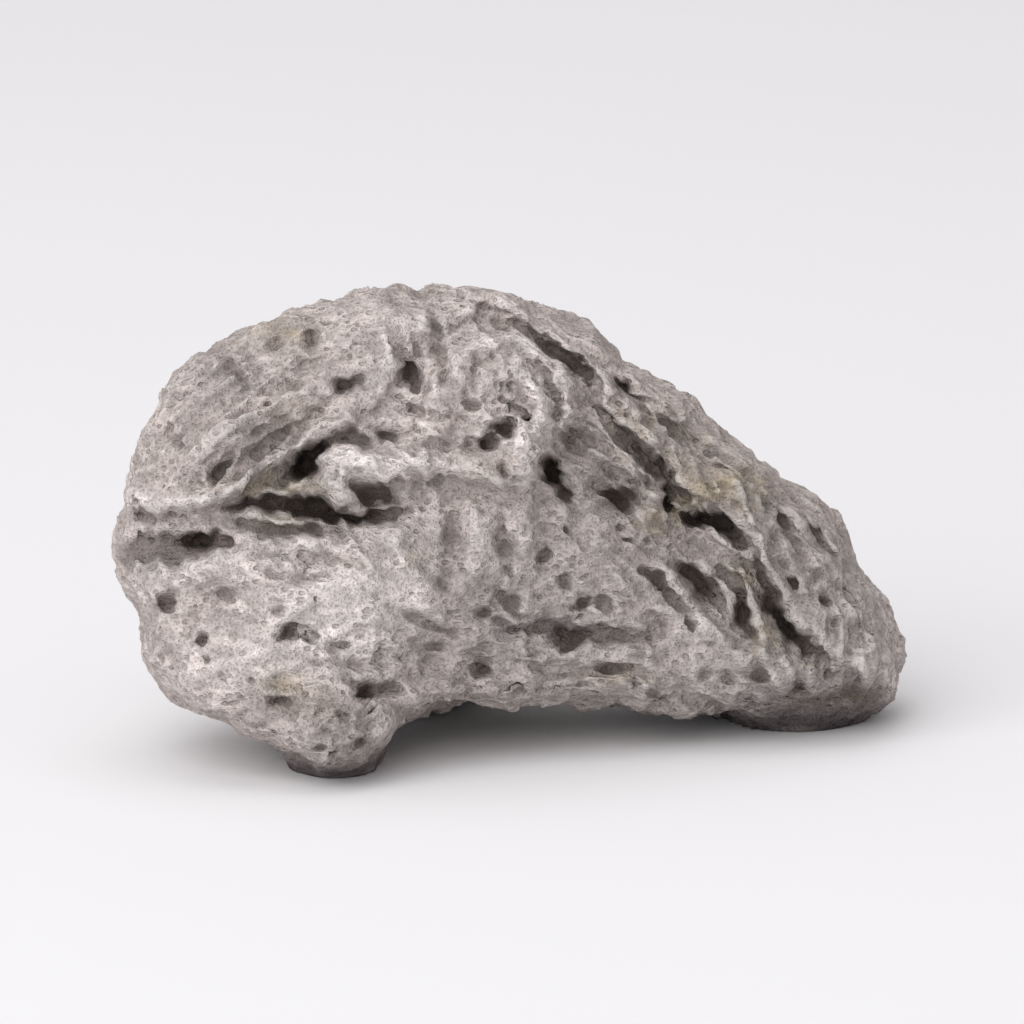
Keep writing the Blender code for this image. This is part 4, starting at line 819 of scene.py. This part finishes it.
class Nodes:
    """A short way to write a material's nodes: each call adds a node and links or sets its inputs."""

    def __init__(self, material):
        material.use_nodes = True
        self.tree = material.node_tree
        self.surface = self.tree.nodes["Principled BSDF"]

    def add(self, kind, inputs=(), output=0, **settings):
        node = self.tree.nodes.new(kind)
        for setting, value in settings.items():
            setattr(node, setting, value)
        for socket, value in dict(inputs).items():
            self.set(node.inputs[socket], value)
        return node.outputs[output]

    def set(self, socket, value):
        if isinstance(value, bpy.types.NodeSocket):
            self.tree.links.new(value, socket)
        else:
            socket.default_value = value

    def math(self, operation, *values, clamp=False):
        return self.add("ShaderNodeMath", enumerate(values), operation=operation, use_clamp=clamp)

    def times(self, first, second):
        return self.math("MULTIPLY", first, second)

    def shaded(self, colour, grey):
        greys = self.add("ShaderNodeCombineColor", {0: grey, 1: grey, 2: grey})
        return self.mix(1.0, colour, greys, "MULTIPLY")

    def cells(self, spot, size):
        return self.add("ShaderNodeTexVoronoi", {"Vector": spot, "Scale": 1 / size, "Randomness": 1.0})

    def ramp(self, value, low, high, to_low=0.0, to_high=1.0):
        inputs = {0: value, 1: low, 2: high, 3: to_low, 4: to_high}
        return self.add("ShaderNodeMapRange", inputs, interpolation_type="SMOOTHSTEP")

    def mix(self, share, first, second, blend="MIX"):
        inputs = {0: share, 6: first, 7: second}
        return self.add("ShaderNodeMix", inputs, output=2, data_type="RGBA", blend_type=blend)

    def noise(self, spot, size, detail=3.0, rough=0.6):
        inputs = {"Vector": spot, "Scale": 1 / size, "Detail": detail, "Roughness": rough}
        return self.add("ShaderNodeTexNoise", inputs)

    def trait(self, name):
        return self.add("ShaderNodeAttribute", output=2, attribute_name=name)


def pumice(finish):
    """Dry volcanic foam: pale worn walls, dust in the pores, faint stains, and pores down to 0.1 mm. Painted
    shade darkens its sunk parts, crevices, bubbles, creases and feet, and painted light brightens its raised
    parts.
    """
    material = bpy.data.materials.new("pumice")
    n = Nodes(material)
    spot = n.add("ShaderNodeTexCoord", output=3)
    drawn_out = n.add("ShaderNodeMapping", {"Vector": spot, **DRAWN_OUT})
    stain = n.trait("stain")

    broad, grain = n.noise(spot, BROAD), n.noise(spot, GRAIN, 2.0, 0.7)
    blotch, fine = n.noise(drawn_out, BLOTCH, 4.0), n.noise(drawn_out, FINE)
    pore = n.times(n.ramp(n.cells(drawn_out, PORE), 0.42, 0.18), n.ramp(blotch, 0.42, 0.58))
    fine_pore = n.ramp(n.cells(spot, FINE_PORE), 0.45, 0.2)

    # Painted light, partly worn crust: raised parts are drawn towards the pale crust colour
    raised = n.times(n.trait("raised"), RAISED_WHITE)
    whitish = n.math("MULTIPLY_ADD", n.ramp(broad, 0.35, 0.65), BROAD_WHITE, raised)
    # Pale patches: worn crust, partly painted light
    whitish = n.math("ADD", whitish, n.times(n.trait("pale"), PALE_WHITE), clamp=True)
    colour = n.mix(whitish, (*finish.body, 1), (*finish.crust, 1))
    # Grey patches: broken crust, partly painted shade
    colour = n.mix(n.trait("bare_and_shaded"), colour, (*finish.bare_and_shaded, 1))
    colour = n.mix(n.times(stain, n.ramp(blotch, 0.30, 0.62, 0.35, 1.0)), colour, (*finish.stain, 1))
    mottle = n.times(n.ramp(blotch, 0.32, 0.68, 0.74, 1.20), n.ramp(fine, 0.3, 0.7, 0.82, 1.16))
    colour = n.shaded(n.shaded(colour, mottle), n.ramp(grain, 0.3, 0.7, 0.88, 1.10))
    shade = n.times(n.math("MAXIMUM", pore, n.times(fine_pore, FINE_PORE_SHARE)), PORE_DARK)
    colour = n.mix(shade, colour, (*finish.pore, 1))
    colour = n.mix(n.times(n.trait("worn"), EDGE_STRENGTH), colour, (*finish.worn, 1))
    # Dust and painted shade in the creases, in the colour of the pores
    colour = n.mix(n.times(n.trait("crease_dust_and_shade"), EDGE_STRENGTH), colour, (*finish.pore, 1))
    # Painted shade: crevices, bubbles and shade patches are darkened towards the hollow colour
    hollow = n.times(n.trait("hollow"), HOLLOW_DARK)
    # Painted shade: sunk parts are darkened towards the hollow colour as well
    dark = n.math("MULTIPLY_ADD", n.trait("sunk_shade"), SUNK_DARK, hollow, clamp=True)
    colour = n.mix(n.times(dark, n.ramp(stain, 0, 1, 1.0, STAINED_DARK)), colour, (*finish.hollow, 1))
    # Painted shade on the feet near the floor, mottled
    shaded_feet = n.times(n.trait("floor_shade"), n.ramp(blotch, 0.30, 0.60, 0.65, 0.95))
    n.set(n.surface.inputs["Base Color"], n.mix(shaded_feet, colour, (*finish.floor_shade, 1)))
    n.surface.inputs["Roughness"].default_value = 0.92
    n.surface.inputs["Specular IOR Level"].default_value = 0.25

    height = n.times(pore, PORE_RELIEF)
    finer = (fine_pore, FINE_PORE_RELIEF), (grain, GRAIN_RELIEF), (blotch, BLOTCH_RELIEF), (fine, FINE_RELIEF)
    for pattern, relief in finer:
        height = n.math("MULTIPLY_ADD", pattern, relief, height)
    bump = n.add("ShaderNodeBump", {"Strength": 1.0, "Distance": MM, "Height": height})
    n.set(n.surface.inputs["Normal"], bump)
    return material


def plain(name, colour):
    material = bpy.data.materials.new(name)
    n = Nodes(material)
    n.surface.inputs["Base Color"].default_value = (*colour, 1)
    n.surface.inputs["Roughness"].default_value = 0.8
    n.surface.inputs["Specular IOR Level"].default_value = 0.1
    return material


# ---------------------------------------------------------------- sizes and colours to change


def number(name, description, default, kind=("NONE", "NONE"), **limits):
    subtype, unit = kind
    return FloatProperty(
        name=name, description=description, default=default, subtype=subtype, unit=unit, **limits
    )


def tint(name, description, default):
    return FloatVectorProperty(
        name=name, description=description, default=default, subtype="COLOR", min=0, max=1, size=3
    )


LENGTH, ANGLE, POWER = ("DISTANCE", "LENGTH"), ("ANGLE", "ROTATION"), ("NONE", "POWER")
FACTOR = ("FACTOR", "NONE")


class PumiceShape(bpy.types.PropertyGroup):
    squares: IntProperty(
        name="Squares", description="Squares along each side of the six grids", default=128, min=16, max=128
    )
    cell_depth: number(
        "Cell depth", "How deep the close-packed cells of the foam are", 0.22 * MM, LENGTH, min=0, max=MM
    )
    fibres: number(
        "Fibres", "How far the fibres stand up, as a share of their usual height", 1, FACTOR, min=0, max=2
    )


class PumiceFinish(bpy.types.PropertyGroup):
    crust: tint("Crust", "Pale worn crust", (0.795, 0.728, 0.698))
    body: tint("Body", "The foam under the crust", (0.474, 0.415, 0.388))
    # Partly painted shade: the grey that bare patches, the shaded right side and the foot are drawn towards
    bare_and_shaded: tint("Bare", "Cool grey where the crust is broken off", (0.350, 0.314, 0.302))
    worn: tint("Worn edges", "Whitish glass on the worn edges", (0.760, 0.720, 0.690))
    stain: tint("Stain", "Yellow-brown stain", (0.315, 0.262, 0.192))
    pore: tint("Pores", "Dust in the fine pores", (0.200, 0.170, 0.155))
    # Painted shade: the colour that crevices, bubbles and shade patches are darkened towards
    hollow: tint("Hollows", "Dirt in the crevices", (0.155, 0.124, 0.108))
    # Painted shade: the dark purple that the feet turn towards near the floor
    floor_shade: tint("Grime", "Grime of the floor on the feet", (0.060, 0.047, 0.050))


class StudioSettings(bpy.types.PropertyGroup):
    floor: tint("Floor", "Colour of the floor and backdrop", (0.90, 0.90, 0.91))
    azimuth: number("Azimuth", "Way round the stone to the camera", 0, ANGLE)
    elevation: number("Elevation", "Height of the camera above the horizon", FACE_TILT, ANGLE)
    distance: number("Distance", "From the camera to the stone's middle", 0.90, LENGTH, min=0.1)
    fill: number("Fill", "Share of the picture's width that the stone takes", 0.78, min=0.1, max=1)
    key_power: number("Key light", "Power of the key light", 10.6, POWER)
    sky: number("Sky", "Strength of the even light from all round", 0.50, min=0)


# In metres: half the floor's width, its front edge, where it starts to bend up, the bend's radius and its top
FLOOR = (3.0, -3.0, 1.6, 0.8, 3.0)
BEND_STEPS = 25
# Lamps: place off the stone's middle and size in metres, and power as a share of the key light's
LAMPS = {"key": ((-0.54, -0.78, 0.56), 1.25, 1.0), "top": ((-0.10, 0.15, 0.90), 0.8, 0.2)}
SKY_COLOUR = (1.0, 0.965, 0.985, 1)


# ---------------------------------------------------------------- operators


def linked(context, name, data):
    made = bpy.data.objects.new(name, data)
    context.scene.collection.objects.link(made)
    return made


def aimed(thing, direction, distance=1.0):
    """Sets a lamp or the camera off the stone's middle, turned to it."""
    thing.location = (CAD_BOX[0] + CAD_BOX[1]) / 2 + direction * distance
    thing.rotation_euler = (-direction).to_track_quat("-Z", "Y").to_euler()


class PUMICE_OT_stone(bpy.types.Operator):
    """Builds the pumice stone around its frame node"""

    bl_idname = "pumice.stone"
    bl_label = "Pumice Stone"

    def execute(self, context):
        scene = context.scene
        points, quads, traits = stone_surface(scene.pumice_shape)
        mesh = mesh_of(STONE, into_frame(points), quads, traits)
        mesh.materials.append(pumice(scene.pumice_finish))
        stone = linked(context, STONE, mesh)
        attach(stone, "root")
        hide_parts(NODE)
        return {"FINISHED"}


class PUMICE_OT_studio(bpy.types.Operator):
    """Builds the floor with its rounded backdrop, the lights and the camera"""

    bl_idname = "pumice.studio"
    bl_label = "Studio"

    def execute(self, context):
        settings = context.scene.pumice_studio
        self.floor(context, settings)
        self.lights(context, settings)
        self.camera(context, settings)
        context.scene.view_settings.view_transform = "Standard"
        return {"FINISHED"}

    def floor(self, context, settings):
        """A sheet that is flat under the stone and bends up behind it in a quarter circle to a wall."""
        low = CAD_BOX[0]
        half_width, front, back, bend, top = FLOOR
        turn = np.linspace(0, math.pi / 2, BEND_STEPS)
        depth = np.concatenate([[front], back + bend * np.sin(turn), [back + bend]])
        height = np.concatenate([[0], bend * (1 - np.cos(turn)), [top]]) + low.z
        across = np.array([-half_width, half_width])
        x, row = np.meshgrid(across, np.arange(len(depth)), indexing="ij")
        points = np.stack([x, depth[row], height[row]], axis=-1).reshape(-1, 3)
        first = np.arange(len(depth) - 1)
        quads = np.stack([first, first + len(depth), first + len(depth) + 1, first + 1], axis=1)
        mesh = mesh_of("studio_floor", points, quads, {})
        mesh.materials.append(plain("studio paper", settings.floor))
        return linked(context, "studio_floor", mesh)

    def lights(self, context, settings):
        world = bpy.data.worlds.new("studio")
        world.use_nodes = True
        sky = world.node_tree.nodes["Background"]
        sky.inputs["Color"].default_value = SKY_COLOUR
        sky.inputs["Strength"].default_value = settings.sky
        context.scene.world = world
        for name, (place, size, share) in LAMPS.items():
            light = bpy.data.lights.new(name, "AREA")
            light.size, light.energy = size, settings.key_power * share
            aimed(linked(context, name, light), Vector(place))

    def camera(self, context, settings):
        low, high = CAD_BOX
        azimuth, elevation = settings.azimuth, settings.elevation
        level = math.cos(elevation)
        back = Vector((math.sin(azimuth) * level, -math.cos(azimuth) * level, math.sin(elevation)))
        camera = bpy.data.cameras.new("camera")
        seen_width = (high.x - low.x) / settings.fill
        camera.lens = camera.sensor_width * settings.distance / seen_width
        camera.clip_start, camera.clip_end = 0.01, 20
        context.scene.camera = linked(context, "camera", camera)
        aimed(context.scene.camera, back, settings.distance)


class PUMICE_PT_panel(bpy.types.Panel):
    """The stone's and the studio's settings, with a button for each"""

    bl_label = "Pumice Stone"
    bl_idname = "PUMICE_PT_panel"
    bl_space_type = "VIEW_3D"
    bl_region_type = "UI"
    bl_category = "Pumice"

    def draw(self, context):
        scene = context.scene
        for settings, button in (
            (scene.pumice_shape, None),
            (scene.pumice_finish, PUMICE_OT_stone),
            (scene.pumice_studio, PUMICE_OT_studio),
        ):
            column = self.layout.column()
            for name in settings.__annotations__:
                column.prop(settings, name)
            if button:
                column.operator(button.bl_idname)


CLASSES = (PumiceShape, PumiceFinish, StudioSettings, PUMICE_OT_stone, PUMICE_OT_studio, PUMICE_PT_panel)


def register():
    for kind in CLASSES:
        bpy.utils.register_class(kind)
    bpy.types.Scene.pumice_shape = PointerProperty(type=PumiceShape)
    bpy.types.Scene.pumice_finish = PointerProperty(type=PumiceFinish)
    bpy.types.Scene.pumice_studio = PointerProperty(type=StudioSettings)


def unregister():
    del bpy.types.Scene.pumice_studio
    del bpy.types.Scene.pumice_finish
    del bpy.types.Scene.pumice_shape
    for kind in reversed(CLASSES):
        bpy.utils.unregister_class(kind)


def main():
    register()
    bpy.ops.pumice.stone()
    bpy.ops.pumice.studio()


if __name__ == "__main__":
    main()
